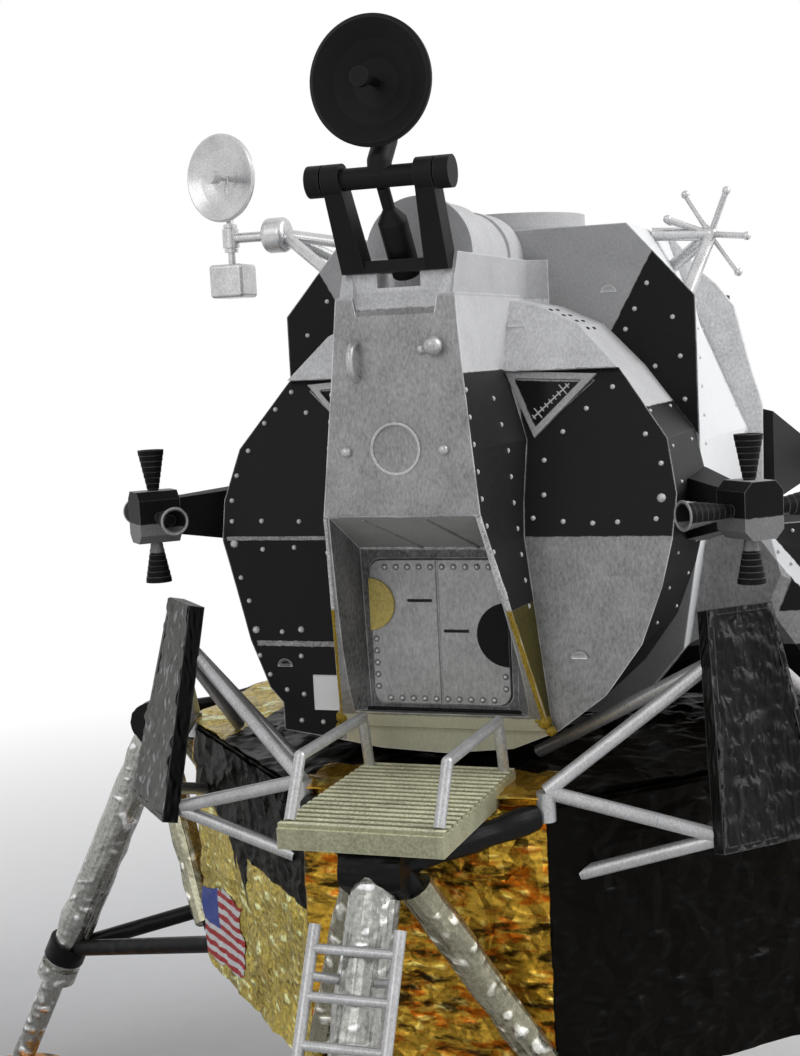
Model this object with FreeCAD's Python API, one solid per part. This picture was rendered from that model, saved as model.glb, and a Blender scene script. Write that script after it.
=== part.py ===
import FreeCAD, Part
import os

# A two-stage lunar lander, as a plastic display model at one forty-eighth of full size.
# Origin on the ground under the middle, +Z up, the hatch and porch face -Y, all lengths in mm.

V = FreeCAD.Vector
os.makedirs("parts", exist_ok=True)

# One overrun serves every cut, and small gaps keep moving pieces free
overrun = 2.0
pin_gap = 0.06
seat_gap = 0.1

# Descent stage body
box_flat = 44.0
box_corner_half = 14.3
box_bottom = 32.8
box_top = 66.4
deck_thick = 0.8
deck_inset = 0.9
engine_well_radius = 15.6
engine_well_depth = 10.0
ascent_well_radius = 10.2
ascent_well_depth = 13.0
bottom_rim_width = 2.2
bottom_rim_depth = 1.2

# Descent engine
descent_bell_exit_z = 10.4
descent_bell_exit_radius = 14.2
descent_bell_throat_radius = 4.2
descent_bell_wall = 0.9
bell_curve_share = 0.62
bell_steps = 8

# Landing gear
pad_ring_radius = 88.6
pad_radius = 9.8
pad_height = 3.6
pad_foot_radius = 5.6
pad_wall = 1.0
pad_flare_share = 0.62
pad_lip_share = 0.75
ankle_radius = 1.9
ankle_foot_radius = 2.8
strut_top_radius_at = 57.5
strut_top_z = 63.4
strut_upper_radius = 2.5
strut_lower_radius = 1.7
strut_upper_share = 0.56
strut_collar_radius = 3.0
strut_collar_length = 2.4
outrigger_radius = 1.15
outrigger_low_z = 37.0
outrigger_hub_radius = 2.9
outrigger_hub_length = 6.4
secondary_radius = 1.2
secondary_low_z = 34.6
secondary_share = 0.62
secondary_clamp_radius = 3.1
secondary_clamp_length = 3.0

# Ladder on the front leg
ladder_half = 4.6
ladder_rail_radius = 0.62
ladder_rung_radius = 0.5
ladder_rungs = 9
ladder_top_share = 0.1
ladder_bottom_share = 0.72
ladder_stand_off = 3.6
ladder_stay_shares = (0.12, 0.5, 0.88)

# Porch
porch_half = 9.0
porch_overhang = 4.8
porch_front = strut_top_radius_at + porch_overhang
porch_back = 37.6
porch_thick = 1.1
porch_skirt = 2.2
porch_ribs = 17
porch_rib_height = 0.45
porch_rib_share = 0.55
porch_top = box_top + deck_thick + porch_thick + porch_rib_height
porch_bracket_half = 2.2
porch_bracket_depth = 2.6
rail_radius = 0.62
rail_half = 8.1
rail_height = 5.9
rail_end_gap = 1.4
rail_lean = 3.3
rail_back_lean = 1.4

# Plume deflectors under the thruster groups
shield_top_z = 86.4
shield_top_out = 46.4
shield_bottom_z = 61.4
shield_bottom_out = 52.2
shield_top_half = 4.3
shield_bottom_half = 7.0
shield_thick = 1.9
shield_rim = 0.7
shield_tray_depth = 0.8
shield_tube_radius = 0.8
shield_upper_share = 0.22
shield_lower_share = 0.94
shield_lower_drop = 8.2
shield_long_shares = (0.62, 0.62)
shield_short_shares = (1.4, 0.78)
shield_bracket_share = 1.3
shield_lower_along = 4.0
shield_bracket_height = 1.6

# Ascent stage: cabin drum
cabin_radius = 27.9
cabin_axis_z = 94.3
cabin_face = 35.0
cabin_crease_z = 94.6
cabin_brow_z = 113.0
cabin_brow_y = 28.2
cabin_brow_lip = 0.9
cabin_top_y = 24.6
cabin_wall = 1.3
cabin_right_shares = [
    (0.0, -0.893), (0.29, -0.864), (0.484, -0.785), (0.688, -0.631), (0.839, -0.423), (0.928, -0.19),
    (0.975, 0.0), (0.986, 0.168), (0.939, 0.384), (0.731, 0.667), (0.556, 0.85), (0.373, 0.936), (0.197, 0.979),
    (0.0, 0.99)]
cabin_left_shares = [
    (-0.197, 0.979), (-0.373, 0.936), (-0.556, 0.85), (-0.731, 0.667), (-0.939, 0.384), (-0.986, 0.168),
    (-0.975, 0.0), (-0.928, -0.19), (-0.871, -0.43), (-0.792, -0.634), (-0.735, -0.7), (-0.735, -0.817),
    (-0.484, -0.85), (-0.29, -0.88)]

# Nose between the windows, from the brow down in shares of its height, reach and half width
nose_top = 121.8
nose_bottom = 72.6
nose_reach = 46.1
nose_half = 13.1
nose_depth = 24.1
nose_level_shares = [0.0, 0.169, 0.337, 0.478, 1.0]
nose_reach_shares = [0.972, 0.983, 0.993, 1.0, 0.779]
nose_front_shares = [0.519, 0.573, 0.634, 0.687, 0.977]
nose_back_shares = [0.55, 0.504, 0.809, 0.809, 1.0]
nose_depth_shares = [1.0, 0.917, 0.834, 0.751, 0.668]
nose_wall = 0.8

# Fittings on the nose's front: a handle, a knob, a ring and two domes, by place across and height
fitting_seat = 0.3
handle_x = -4.5
handle_low = 109.9
handle_high = 114.4
handle_radius = 0.55
handle_stand = 0.9
knob_x = 3.7
knob_z = 115.2
knob_radius = 0.95
knob_stand = 1.5
ring_z = 101.0
ring_radius = 2.35
ring_wire = 0.28
dome_x = 4.6
dome_z = 100.9
dome_radius = 0.75

# Hatch recess and hatch
hatch_plane = 35.2
recess_ceiling_z = 93.4
recess_back_half_top = 9.5
recess_back_half_bottom = 9.0
recess_floor_z = 74.4
hatch_half = 8.27
hatch_low = 75.3
hatch_height = 16.8
hatch_thick = 1.0
hatch_corner = 1.4
hatch_proud = 0.5
hatch_rim = 0.9

# Windows
window_shares = [(0.245, 0.665), (0.625, 0.62), (0.39, 0.415)]
window_frame = 2.1
window_thick = 0.7
window_proud = 0.35

# Upper box behind the nose, radar notch and the tunnel fairing
ridge_half = 6.5
ridge_top = 126.2
ridge_front = 44.4
ridge_lean = 2.2
ridge_flare = 2.2
notch_half_top = 5.7
notch_half_low = 4.6
notch_floor = 122.3
notch_lip_z = 120.5
notch_ledge = 43.2
notch_back = 37.6
cradle_top = 124.3
cradle_slot_half = 2.5
cradle_slot_depth = 1.6
fairing_radius = 6.3
fairing_front = 36.4
fairing_lift = 0.4
fairing_step_shares = [(0.0, 1.0), (0.07, 0.955), (0.4, 0.87), (0.7, 0.83), (0.76, 0.89), (1.0, 0.89)]

# Midsection: front outline, narrower rear outline, and the wider plate behind it
mid_half_depth = 14.3
mid_half = 26.7
mid_top = 130.0
mid_bottom = 69.8
mid_wall = 1.4
mid_plate_thick = 1.2
mid_front_shares = [(0.637, 0.0), (0.899, 0.136), (1.0, 0.407), (1.0, 0.56), (1.0, 0.85), (0.697, 1.0)]
mid_rear_shares = [(0.637, 0.0), (0.899, 0.136), (1.041, 0.379), (1.067, 0.56), (0.805, 0.817), (0.674, 1.0)]
mid_plate_shares = [(0.637, 0.0), (0.899, 0.136), (1.131, 0.379), (1.139, 0.611), (1.071, 0.716), (1.007, 0.834),
                    (0.921, 0.884), (0.839, 0.917), (0.697, 1.0)]

# Docking ring
dock_bore = 8.1
dock_radius = 9.7
dock_flange_radius = 10.9
dock_top = 132.6
dock_depth = 4.6
dock_flange = 0.9
dock_lip = 0.7

# Side tank fairings: how far out each stands, then front and side outlines in shares of reach and height
tank_right_out = 17.3
tank_left_out = 9.9
tank_top_z = 92.8
tank_front = 10.0
tank_side = 3.0
tank_front_shares = [(0.41, 0.557), (0.509, 0.73), (0.445, 0.922), (0.393, 1.0)]
tank_side_shares = [(0.803, 0.03), (1.0, 0.465), (1.0, 0.704), (0.942, 1.0)]

# Aft bay
aft_depth = 36.2
aft_half = 13.2
aft_chamfer = 5.0
aft_top = 122.0
aft_bottom = 77.0
aft_rack_half = 22.8
aft_rack_thick = 3.0
aft_rack_columns = 5
aft_rack_rows = 3
aft_rack_groove = 0.9
aft_rack_gap_share = 0.12
aft_tank_radius = 5.4
aft_tank_x = 19.4
aft_tank_y = 24.5
aft_tank_z = 97.0
aft_stub_radius = 1.9

# Thruster groups
quad_out = 7.85
quad_at = cabin_radius + quad_out
quad_z = 97.5
quad_half_height = 8.0
quad_side_reach = 8.6
quad_house_half = 2.5
quad_house_height = 3.1
quad_house_chamfer = 1.0
nozzle_exit_radius = 1.62
nozzle_throat_radius = 0.62
nozzle_rings = 8
nozzle_ring_step = 0.12
nozzle_wall = 0.35
nozzle_bore_depth = 1.8
nozzle_seat_share = 0.86
arm_root_half = 3.4
arm_root_top_z = 100.6
arm_root_low_z = 90.6
arm_tip_half = 1.5
arm_tip_top_z = 99.6
arm_tip_low_z = 95.2
arm_root_in = 4.9
arm_root_y = 12.0
arm_aft_top_z = 107.0
arm_aft_low_z = 92.8
arm_aft_out = 1.8
arm_aft_y = 12.0

# Ascent engine
ascent_bell_exit_radius = 7.7
ascent_bell_throat_radius = 2.6
ascent_bell_exit_z = 58.6
ascent_bell_wall = 0.7

# Interstage pads
pad_post_radius = 1.6
pad_post_x = 14.0
pad_post_y = 11.0

# Radar
radar_axis_y = 47.1
radar_axis_z = 134.0
radar_boss_half = 7.07
radar_boss_radius = 1.7
radar_boss_width = 1.9
radar_bar_radius = 1.15
radar_arm_foot_in = 2.3
radar_arm_foot_back = 4.4
radar_arm_width = 3.0
radar_arm_thick = 2.0
radar_arm_foot_share = 1.35
radar_arm_head_width = 3.4
radar_arm_neck_share = 0.84
radar_base_height = 1.3
radar_mast_radius = 1.6
radar_mast_back = 2.7
radar_mast_shoulder_share = 0.56
radar_mast_cone_share = 0.68
radar_mast_rod_radius = 0.68
radar_feed_rod_radius = 0.45
radar_dish_radius = 6.7
radar_dish_centre = 9.6
radar_dish_depth = 2.4
radar_dish_wall = 0.7
radar_neck_radius = 1.3
radar_neck_rise = 1.6
radar_neck_back = 2.1
radar_neck_bend = 4.0
radar_feed_radius = 1.0
radar_feed_length = 3.4

# Both dishes share one curve, from the middle to the rim
dish_curve_shares = [(0.0, 0.0), (0.4, 0.16), (0.7, 0.49), (1.0, 1.0)]
dish_lip_share = 0.6

# Steerable dish antenna on the left
sband_axis_y = 2.0
sband_axis_z = 132.6
sband_hub_out = 34.8
sband_hub_in = 31.4
sband_hub_radius = 2.4
sband_hub_round = 0.8
sband_boom_radius = 0.8
sband_brace_share = 0.42
sband_brace_y = 8.0
sband_rod_radius = 0.7
sband_pin_radius = 0.45
sband_pin_depth = 1.6
sband_post_x = 40.2
sband_post_radius = 0.5
sband_sleeve_radius = 1.15
sband_sleeve_half = 1.3
sband_collar_radius = 0.95
sband_collar_height = 0.5
sband_post_low_z = 129.0
sband_weight_half = 2.5
sband_weight_height = 4.6
sband_weight_corner = 0.5
sband_dish_radius = 6.0
sband_dish_z = 140.8
sband_dish_depth = 1.5
sband_dish_wall = 0.5
sband_dish_forward = 1.2
sband_dish_turn = -14.0
sband_feed_radius = 0.9
sband_feed_length = 2.6
sband_feed_rod_radius = 0.35

# Whip antennas on the right shoulder
whip_in = 0.7
whip_y = 2.0
whip_down = 1.0
whip_hub_radius = 0.95
whip_leg_radius = 0.85
whip_radius = 0.4
whip_tip_radius = 0.55
whip_length = 6.0
whip_foot_shares = [(0.06, -0.1), (0.45, 0.16), (0.85, -0.3)]
whip_direction_shares = [(0.28, -0.2, 0.6), (0.72, -0.45, -0.1), (0.5, 0.1, -0.75), (-0.45, -0.2, 0.8),
                         (-0.85, -0.4, 0.35), (-0.8, 0.2, 0.3)]


# Shapes that many pieces share
def polygon_face(points):
    return Part.Face(Part.makePolygon(points + [points[0]]))


def slab(points, push):
    return polygon_face(points).extrude(push)


def ruled(sections):
    wires = [Part.makePolygon(points + [points[0]]) for points in sections]
    return Part.makeLoft(wires, True, True)


def rod(start, end, radius):
    line = end - start
    return Part.makeCylinder(radius, line.Length, start, line)


def taper(start, end, start_radius, end_radius):
    line = end - start
    return Part.makeCone(start_radius, end_radius, line.Length, start, line)


def ball(centre, radius):
    return Part.makeSphere(radius, centre)


def bent_rod(points, radius):
    pieces = [rod(a, b, radius) for a, b in zip(points, points[1:])]
    pieces += [ball(point, radius) for point in points[1:-1]]
    return pieces[0].multiFuse(pieces[1:])


def turned(profile, base=V(0, 0, 0)):
    wire = Part.makePolygon([V(radius, 0, level) for radius, level in profile + [profile[0]]])
    solid = Part.Face(wire).revolve(V(0, 0, 0), V(0, 0, 1), 360)
    solid.translate(base)
    return solid


def between(a, b, share):
    return a + (b - a) * share


def around(shape, quarter):
    copy = shape.copy()
    copy.rotate(V(0, 0, 0), V(0, 0, 1), 90 * quarter)
    return copy


def mirrored(shape):
    return shape.mirror(V(0, 0, 0), V(1, 0, 0))


def save(name, shape):
    clean = shape.removeSplitter()
    solids = clean.Solids
    body = solids[0] if len(solids) == 1 else Part.makeCompound(solids)
    body.exportStep("parts/" + name + ".step")
    print(name, len(solids), round(body.Volume, 2), body.isValid())


# The descent stage's eight-sided body, corner points anticlockwise from the front right
def octagon(flat, corner_half, level):
    corners = []
    for quarter in range(4):
        turn = FreeCAD.Rotation(V(0, 0, 1), 90 * quarter)
        corners.append(turn.multVec(V(corner_half, -flat, level)))
        corners.append(turn.multVec(V(flat, -corner_half, level)))
    return corners


def descent_box():
    body = slab(octagon(box_flat, box_corner_half, box_bottom), V(0, 0, box_top - box_bottom))
    rim_inner = octagon(box_flat - bottom_rim_width, box_corner_half - bottom_rim_width / 2, box_bottom)
    body = body.cut(slab(rim_inner, V(0, 0, bottom_rim_depth)))
    body = body.cut(Part.makeCylinder(engine_well_radius, bottom_rim_depth + engine_well_depth,
                                      V(0, 0, box_bottom)))
    return body.cut(Part.makeCylinder(ascent_well_radius, ascent_well_depth, V(0, 0, box_top - ascent_well_depth)))


def top_deck():
    plate = slab(octagon(box_flat - deck_inset, box_corner_half - deck_inset / 2, box_top), V(0, 0, deck_thick))
    deck = plate.cut(Part.makeCylinder(ascent_well_radius, deck_thick, V(0, 0, box_top)))
    deck_z = box_top + deck_thick
    post_height = mid_bottom - seat_gap - deck_z
    for x in (-pad_post_x, pad_post_x):
        for y in (-pad_post_y, pad_post_y):
            deck = deck.fuse(Part.makeCylinder(pad_post_radius, post_height, V(x, y, deck_z)))
    return deck


def bell(throat_z, exit_z, throat_radius, exit_radius, wall, bulge_share):
    outer = [(throat_radius, throat_z)]
    inner = [(throat_radius - wall / 2, throat_z)]
    for step in range(1, bell_steps + 1):
        share = step / bell_steps
        radius = throat_radius + (exit_radius - throat_radius) * share ** bulge_share
        level = throat_z + (exit_z - throat_z) * share
        outer.append((radius, level))
        inner.append((radius - wall, level))
    plug = (0, throat_z)
    floor = (0, between_levels(throat_z, exit_z, 1 / bell_steps))
    profile = [plug] + outer + inner[:0:-1] + [floor]
    return turned(profile)


def between_levels(a, b, share):
    return a + (b - a) * share


def descent_engine():
    throat_z = box_bottom + bottom_rim_depth + engine_well_depth
    return bell(throat_z, descent_bell_exit_z, descent_bell_throat_radius, descent_bell_exit_radius,
                descent_bell_wall, bell_curve_share)


# One leg is drawn at the front and turned for the others
def strut_line():
    top = V(0, -strut_top_radius_at, strut_top_z)
    ankle = V(0, -pad_ring_radius, pad_height)
    return top, ankle


def primary_strut():
    top, ankle = strut_line()
    knee = between(top, ankle, strut_upper_share + secondary_share * (1 - strut_upper_share) / 2)
    strut = rod(top, knee, strut_upper_radius).fuse(rod(knee, ankle, strut_lower_radius))
    along = (ankle - top).normalize()
    collar = rod(knee - along * strut_collar_length, knee, strut_collar_radius)
    return strut.fuse(collar)


def clamp_point():
    top, ankle = strut_line()
    return between(top, ankle, secondary_share)


def outrigger():
    top, ankle = strut_line()
    hub = rod(top - V(outrigger_hub_length / 2, 0, 0), top + V(outrigger_hub_length / 2, 0, 0),
              outrigger_hub_radius)
    pieces = []
    for side in (-1, 1):
        high = V(side * (box_corner_half - outrigger_radius), -box_flat, box_top - outrigger_radius)
        low = V(side * (box_corner_half - outrigger_radius), -box_flat, outrigger_low_z)
        hub_side = top + V(side * (outrigger_hub_length / 2 - outrigger_radius), 0, 0)
        pieces.append(rod(high, hub_side, outrigger_radius))
        pieces.append(rod(low, hub_side, outrigger_radius))
    frame = hub.multiFuse(pieces)
    strut_room = rod(top, ankle, strut_upper_radius)
    return frame.cut(strut_room).cut(descent_box())


def secondary_struts():
    clamp = clamp_point()
    pieces = []
    for side in (-1, 1):
        root = V(side * (box_corner_half - secondary_radius), -box_flat, secondary_low_z)
        pieces.append(rod(root, clamp, secondary_radius))
    top, ankle = strut_line()
    along = (ankle - top).normalize()
    sleeve = rod(clamp - along * secondary_clamp_length / 2, clamp + along * secondary_clamp_length / 2,
                 secondary_clamp_radius)
    joined = sleeve.multiFuse(pieces)
    return joined.cut(primary_strut()).cut(descent_box())


def footpad():
    centre = V(0, -pad_ring_radius, 0)
    profile = [(0, 0), (pad_foot_radius, 0), (pad_radius - pad_wall / 2, pad_height * pad_flare_share),
               (pad_radius, pad_height), (pad_radius - pad_wall, pad_height),
               (pad_radius - pad_wall * 2, pad_height * pad_lip_share), (pad_foot_radius, pad_wall), (0, pad_wall)]
    dish = turned(profile, centre)
    top, ankle = strut_line()
    socket = Part.makeCone(ankle_foot_radius, ankle_radius, pad_height - pad_wall, centre + V(0, 0, pad_wall))
    pad = dish.fuse(socket)
    return pad.cut(primary_strut())


def ladder():
    top, ankle = strut_line()
    along = (ankle - top).normalize()
    out = V(0, along.z, -along.y)
    if out.y > 0:
        out = out * -1
    start = between(top, ankle, ladder_top_share) + out * ladder_stand_off
    end = between(top, ankle, ladder_bottom_share) + out * ladder_stand_off
    pieces = []
    for side in (-1, 1):
        shift = V(side * ladder_half, 0, 0)
        pieces.append(rod(start + shift, end + shift, ladder_rail_radius))
    for rung in range(ladder_rungs):
        middle = between(start, end, (2 * rung + 1) / (2 * ladder_rungs))
        pieces.append(rod(middle - V(ladder_half, 0, 0), middle + V(ladder_half, 0, 0), ladder_rung_radius))
    for share in ladder_stay_shares:
        middle = between(start, end, share)
        for side in (-1, 1):
            pieces.append(rod(middle + V(side * ladder_half, 0, 0), middle - out * ladder_stand_off,
                              ladder_rung_radius))
    frame = pieces[0].multiFuse(pieces[1:])
    return frame.cut(primary_strut()).cut(outrigger()).cut(secondary_struts())


# The porch with its ribs and hand rails
def porch():
    plate_low = porch_top - porch_rib_height - porch_thick
    length = porch_front - porch_back
    plate = Part.makeBox(2 * porch_half, length, porch_thick, V(-porch_half, -porch_front, plate_low))
    skirt_length = porch_front - box_flat - seat_gap
    skirt = Part.makeBox(2 * porch_half, skirt_length, porch_skirt,
                         V(-porch_half, -porch_front, plate_low + porch_thick - porch_skirt))
    hollow = Part.makeBox(2 * (porch_half - porch_thick), skirt_length - 2 * porch_thick, porch_skirt,
                          V(porch_thick - porch_half, porch_thick - porch_front, plate_low - porch_skirt))
    body = plate.fuse(skirt.cut(hollow))
    pitch = length / porch_ribs
    width = pitch * porch_rib_share
    for rib in range(porch_ribs):
        y = -porch_front + pitch * (2 * rib + 1) / 2 - width / 2
        body = body.fuse(Part.makeBox(2 * porch_half, width, porch_rib_height,
                                      V(-porch_half, y, plate_low + porch_thick)))
    bracket = Part.makeBox(2 * porch_bracket_half, porch_bracket_depth, plate_low - strut_top_z,
                           V(-porch_bracket_half, -strut_top_radius_at - porch_bracket_depth / 2, strut_top_z))
    return body.fuse(bracket.cut(outrigger()).cut(primary_strut()))


def porch_rails():
    base = porch_top
    rails = []
    for side in (-1, 1):
        x = side * rail_half
        front = rail_end_gap - porch_front
        back = -porch_back - rail_end_gap
        path = [V(x, front, base), V(x, front + rail_lean, base + rail_height),
                V(x, back - rail_back_lean, base + rail_height), V(x, back, base)]
        rails.append(bent_rod(path, rail_radius))
    return Part.makeCompound(rails).cut(porch())


# Plume deflector: a tapered tray with two braces each side, drawn in the front right corner
def shield_frame():
    out = V(1, -1, 0).normalize()
    side = V(1, 1, 0).normalize()
    top = out * shield_top_out + V(0, 0, shield_top_z)
    bottom = out * shield_bottom_out + V(0, 0, shield_bottom_z)
    face_out = side.cross(top - bottom).normalize()
    if face_out.dot(out) < 0:
        face_out = face_out * -1
    return top, bottom, side, face_out


def shield():
    top, bottom, side, face_out = shield_frame()
    outline = [top - side * shield_top_half, top + side * shield_top_half,
               bottom + side * shield_bottom_half, bottom - side * shield_bottom_half]
    plate = slab(outline, face_out * shield_thick)
    inner_top = between(top, bottom, shield_rim / (top - bottom).Length)
    inner_bottom = between(bottom, top, shield_rim / (top - bottom).Length)
    inner = [inner_top - side * (shield_top_half - shield_rim), inner_top + side * (shield_top_half - shield_rim),
             inner_bottom + side * (shield_bottom_half - shield_rim),
             inner_bottom - side * (shield_bottom_half - shield_rim)]
    tray = slab([point + face_out * (shield_thick - shield_tray_depth) for point in inner],
                face_out * (shield_tray_depth + overrun))
    return plate.cut(tray)


def shield_struts(foot_shares):
    top, bottom, side, face_out = shield_frame()
    foot_out_share, foot_in_share = foot_shares
    foot_z = box_top + deck_thick + shield_tube_radius
    pieces = []
    for hand in (-1, 1):
        if hand < 0:
            corner = V(box_corner_half, -box_flat, box_top)
            inner = V(box_corner_half * foot_out_share, -box_flat * foot_in_share, foot_z)
        else:
            corner = V(box_flat, -box_corner_half, box_top)
            inner = V(box_flat * foot_in_share, -box_corner_half * foot_out_share, foot_z)
        inset = shield_top_half - shield_tube_radius
        inset_low = shield_bottom_half - shield_tube_radius * 2
        upper = between(top, bottom, shield_upper_share) + side * (hand * inset)
        lower = between(top, bottom, shield_lower_share) + side * (hand * inset_low)
        high = corner + V(0, 0, shield_bracket_height)
        low = corner - V(0, 0, shield_bracket_height)
        root = corner - side * (hand * shield_lower_along) - V(0, 0, shield_lower_drop)
        pieces.append(rod(low, high, shield_tube_radius * shield_bracket_share))
        pieces.append(rod(high, upper, shield_tube_radius))
        pieces.append(rod(high, lower, shield_tube_radius))
        pieces.append(rod(root, lower, shield_tube_radius))
        pieces.append(rod(inner, upper, shield_tube_radius))
    frame = pieces[0].multiFuse(pieces[1:])
    frame = frame.cut(descent_box()).cut(top_deck()).cut(shield_block())
    return frame.cut(outrigger()).cut(around(outrigger(), 1))


def shield_block():
    top, bottom, side, face_out = shield_frame()
    outline = [top - side * shield_top_half, top + side * shield_top_half,
               bottom + side * shield_bottom_half, bottom - side * shield_bottom_half]
    return slab(outline, face_out * (shield_thick + overrun))


# Cabin drum and its faces
def drum_outline(radius, y):
    shares = cabin_right_shares + cabin_left_shares
    return [V(x * radius, y, cabin_axis_z + z * radius) for x, z in shares]


def drum_side_profile(inset):
    top = cabin_axis_z + cabin_radius + overrun
    low = cabin_axis_z - cabin_radius - overrun
    lip_y = cabin_brow_y + cabin_brow_lip
    return [V(0, -(cabin_face - inset), low), V(0, -(cabin_face - inset), cabin_crease_z),
            V(0, -(cabin_brow_y - inset), cabin_brow_z), V(0, -(lip_y - inset), cabin_brow_z),
            V(0, -(cabin_top_y - inset), top), V(0, -mid_half_depth, top), V(0, -mid_half_depth, low)]


def drum_block():
    drum = slab(drum_outline(cabin_radius, -mid_half_depth), V(0, mid_half_depth - cabin_face - overrun, 0))
    profile = [point - V(cabin_radius + overrun, 0, 0) for point in drum_side_profile(0)]
    return drum.common(slab(profile, V(2 * (cabin_radius + overrun), 0, 0)))


def nose_level(step):
    return between_levels(nose_top, nose_bottom, nose_level_shares[step])


def nose_block():
    sections = []
    for step, reach_share in enumerate(nose_reach_shares):
        level = nose_level(step)
        front = -nose_reach * reach_share
        back = nose_depth * nose_depth_shares[step] - nose_reach
        front_half = nose_half * nose_front_shares[step]
        back_half = nose_half * nose_back_shares[step]
        sections.append([V(-front_half, front, level), V(front_half, front, level), V(back_half, back, level),
                         V(-back_half, back, level)])
    return ruled(sections)


def nose_front(x, level):
    steps = zip(nose_level_shares, nose_reach_shares)
    places = [(between_levels(nose_top, nose_bottom, level_share), nose_reach * reach_share)
              for level_share, reach_share in steps]
    for (high, high_reach), (low, low_reach) in zip(places, places[1:]):
        if low <= level <= high:
            return V(x, -between_levels(low_reach, high_reach, (level - low) / (high - low)), level)


def nose_fittings():
    out = V(0, -1, 0)
    low = nose_front(handle_x, handle_low)
    high = nose_front(handle_x, handle_high)
    handle = bent_rod([low - out * fitting_seat, low + out * handle_stand, high + out * handle_stand,
                       high - out * fitting_seat], handle_radius)
    foot = nose_front(knob_x, knob_z)
    stem = rod(foot - out * fitting_seat, foot + out * knob_stand, knob_radius / 2)
    knob = stem.fuse(ball(foot + out * knob_stand, knob_radius))
    ring = Part.makeTorus(ring_radius, ring_wire, nose_front(0, ring_z), out)
    domes = [ball(nose_front(side * dome_x, dome_z), dome_radius) for side in (-1, 1)]
    return Part.makeCompound([piece.cut(nose_block()) for piece in [handle, knob, ring] + domes])


def hatch_recess():
    top_z = nose_level(3)
    front = nose_reach + overrun
    half = nose_half * nose_front_shares[3] - nose_wall
    low_half = nose_half * nose_front_shares[4] - nose_wall
    low_front = nose_reach * nose_reach_shares[4] + overrun
    rise = (top_z - recess_ceiling_z) / (nose_reach - hatch_plane)
    top_front_z = top_z + rise * overrun
    top = [V(-half, -front, top_front_z), V(half, -front, top_front_z),
           V(recess_back_half_top, -hatch_plane, recess_ceiling_z),
           V(-recess_back_half_top, -hatch_plane, recess_ceiling_z)]
    low = [V(-low_half, -low_front, recess_floor_z), V(low_half, -low_front, recess_floor_z),
           V(recess_back_half_bottom, -hatch_plane, recess_floor_z),
           V(-recess_back_half_bottom, -hatch_plane, recess_floor_z)]
    return ruled([top, low])


def ridge_block():
    side = [V(-ridge_half, -ridge_front, nose_top - overrun), V(-ridge_half, -ridge_front, nose_top),
            V(-ridge_half, ridge_lean - ridge_front, ridge_top), V(-ridge_half, -mid_half_depth, ridge_top),
            V(-ridge_half, -mid_half_depth, nose_top - overrun)]
    return slab(side, V(2 * ridge_half, 0, 0))


def radar_notch():
    high = ridge_top + overrun
    slope = (notch_half_top - notch_half_low) / (ridge_top - notch_lip_z)
    widths = [(notch_lip_z - overrun, notch_half_low - slope * overrun), (high, notch_half_top + slope * overrun)]
    front = ridge_front + overrun
    rise = (notch_floor - notch_lip_z) / (ridge_front - notch_ledge)
    rings = [[V(-half, -front, level), V(half, -front, level), V(half, -notch_back, level),
              V(-half, -notch_back, level)] for level, half in widths]
    side = [V(-front, -front, notch_lip_z - rise * overrun), V(-front, -notch_ledge, notch_floor),
            V(-front, -notch_ledge, cradle_top), V(-front, -notch_back, cradle_top),
            V(-front, -notch_back, high), V(-front, -front, high)]
    room = ruled(rings).common(slab(side, V(2 * front, 0, 0)))
    slot = Part.makeBox(2 * cradle_slot_half, notch_ledge - notch_back, cradle_slot_depth + overrun,
                        V(-cradle_slot_half, -notch_ledge, cradle_top - cradle_slot_depth))
    return room.fuse(slot)


# Little slopes where the ridge meets the midsection
def ridge_flares():
    flares = []
    for side in (-1, 1):
        points = [V(side * ridge_half, -mid_half_depth - ridge_flare, mid_top - cabin_radius),
                  V(side * (ridge_half + ridge_flare), -mid_half_depth, mid_top - cabin_radius),
                  V(side * (ridge_half - ridge_flare), -mid_half_depth, mid_top - cabin_radius)]
        flares.append(slab(points, V(0, 0, ridge_top - mid_top + cabin_radius)))
    return flares[0].fuse(flares[1])


def window_points(side, grow):
    lean = (cabin_face - cabin_brow_y) / (cabin_brow_z - cabin_crease_z)
    points = []
    for x, z in window_shares:
        level = cabin_axis_z + z * cabin_radius
        y = -(cabin_face - lean * (level - cabin_crease_z))
        points.append(V(side * x * cabin_radius, y, level))
    middle = (points[0] + points[1] + points[2]) * (1 / 3)
    grown = [point + (point - middle).normalize() * grow for point in points]
    return grown


def window_normal():
    lean = (cabin_face - cabin_brow_y) / (cabin_brow_z - cabin_crease_z)
    return V(0, -1, lean).normalize()


def cabin_roof():
    return ridge_block().fuse(ridge_flares()).cut(radar_notch())


def cabin_shell():
    outer = drum_block().fuse(nose_block()).fuse(ridge_block()).fuse(ridge_flares())
    inner_drum = slab(drum_outline(cabin_radius - cabin_wall, -mid_half_depth),
                      V(0, mid_half_depth - cabin_face + cabin_wall, 0))
    inner_profile = [point - V(cabin_radius, 0, 0) for point in drum_side_profile(cabin_wall)]
    inner = inner_drum.common(slab(inner_profile, V(2 * cabin_radius, 0, 0)))
    shell = outer.cut(hatch_recess()).cut(radar_notch())
    shell = shell.cut(inner)
    for side in (-1, 1):
        hole = slab(window_points(side, -window_frame), window_normal() * (2 * cabin_wall + overrun))
        hole.translate(window_normal() * -(2 * cabin_wall))
        seat = slab(window_points(side, seat_gap), window_normal() * overrun)
        seat.translate(window_normal() * (window_proud - window_thick))
        shell = shell.cut(hole).cut(seat)
    return shell.cut(hatch_seat())


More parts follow.
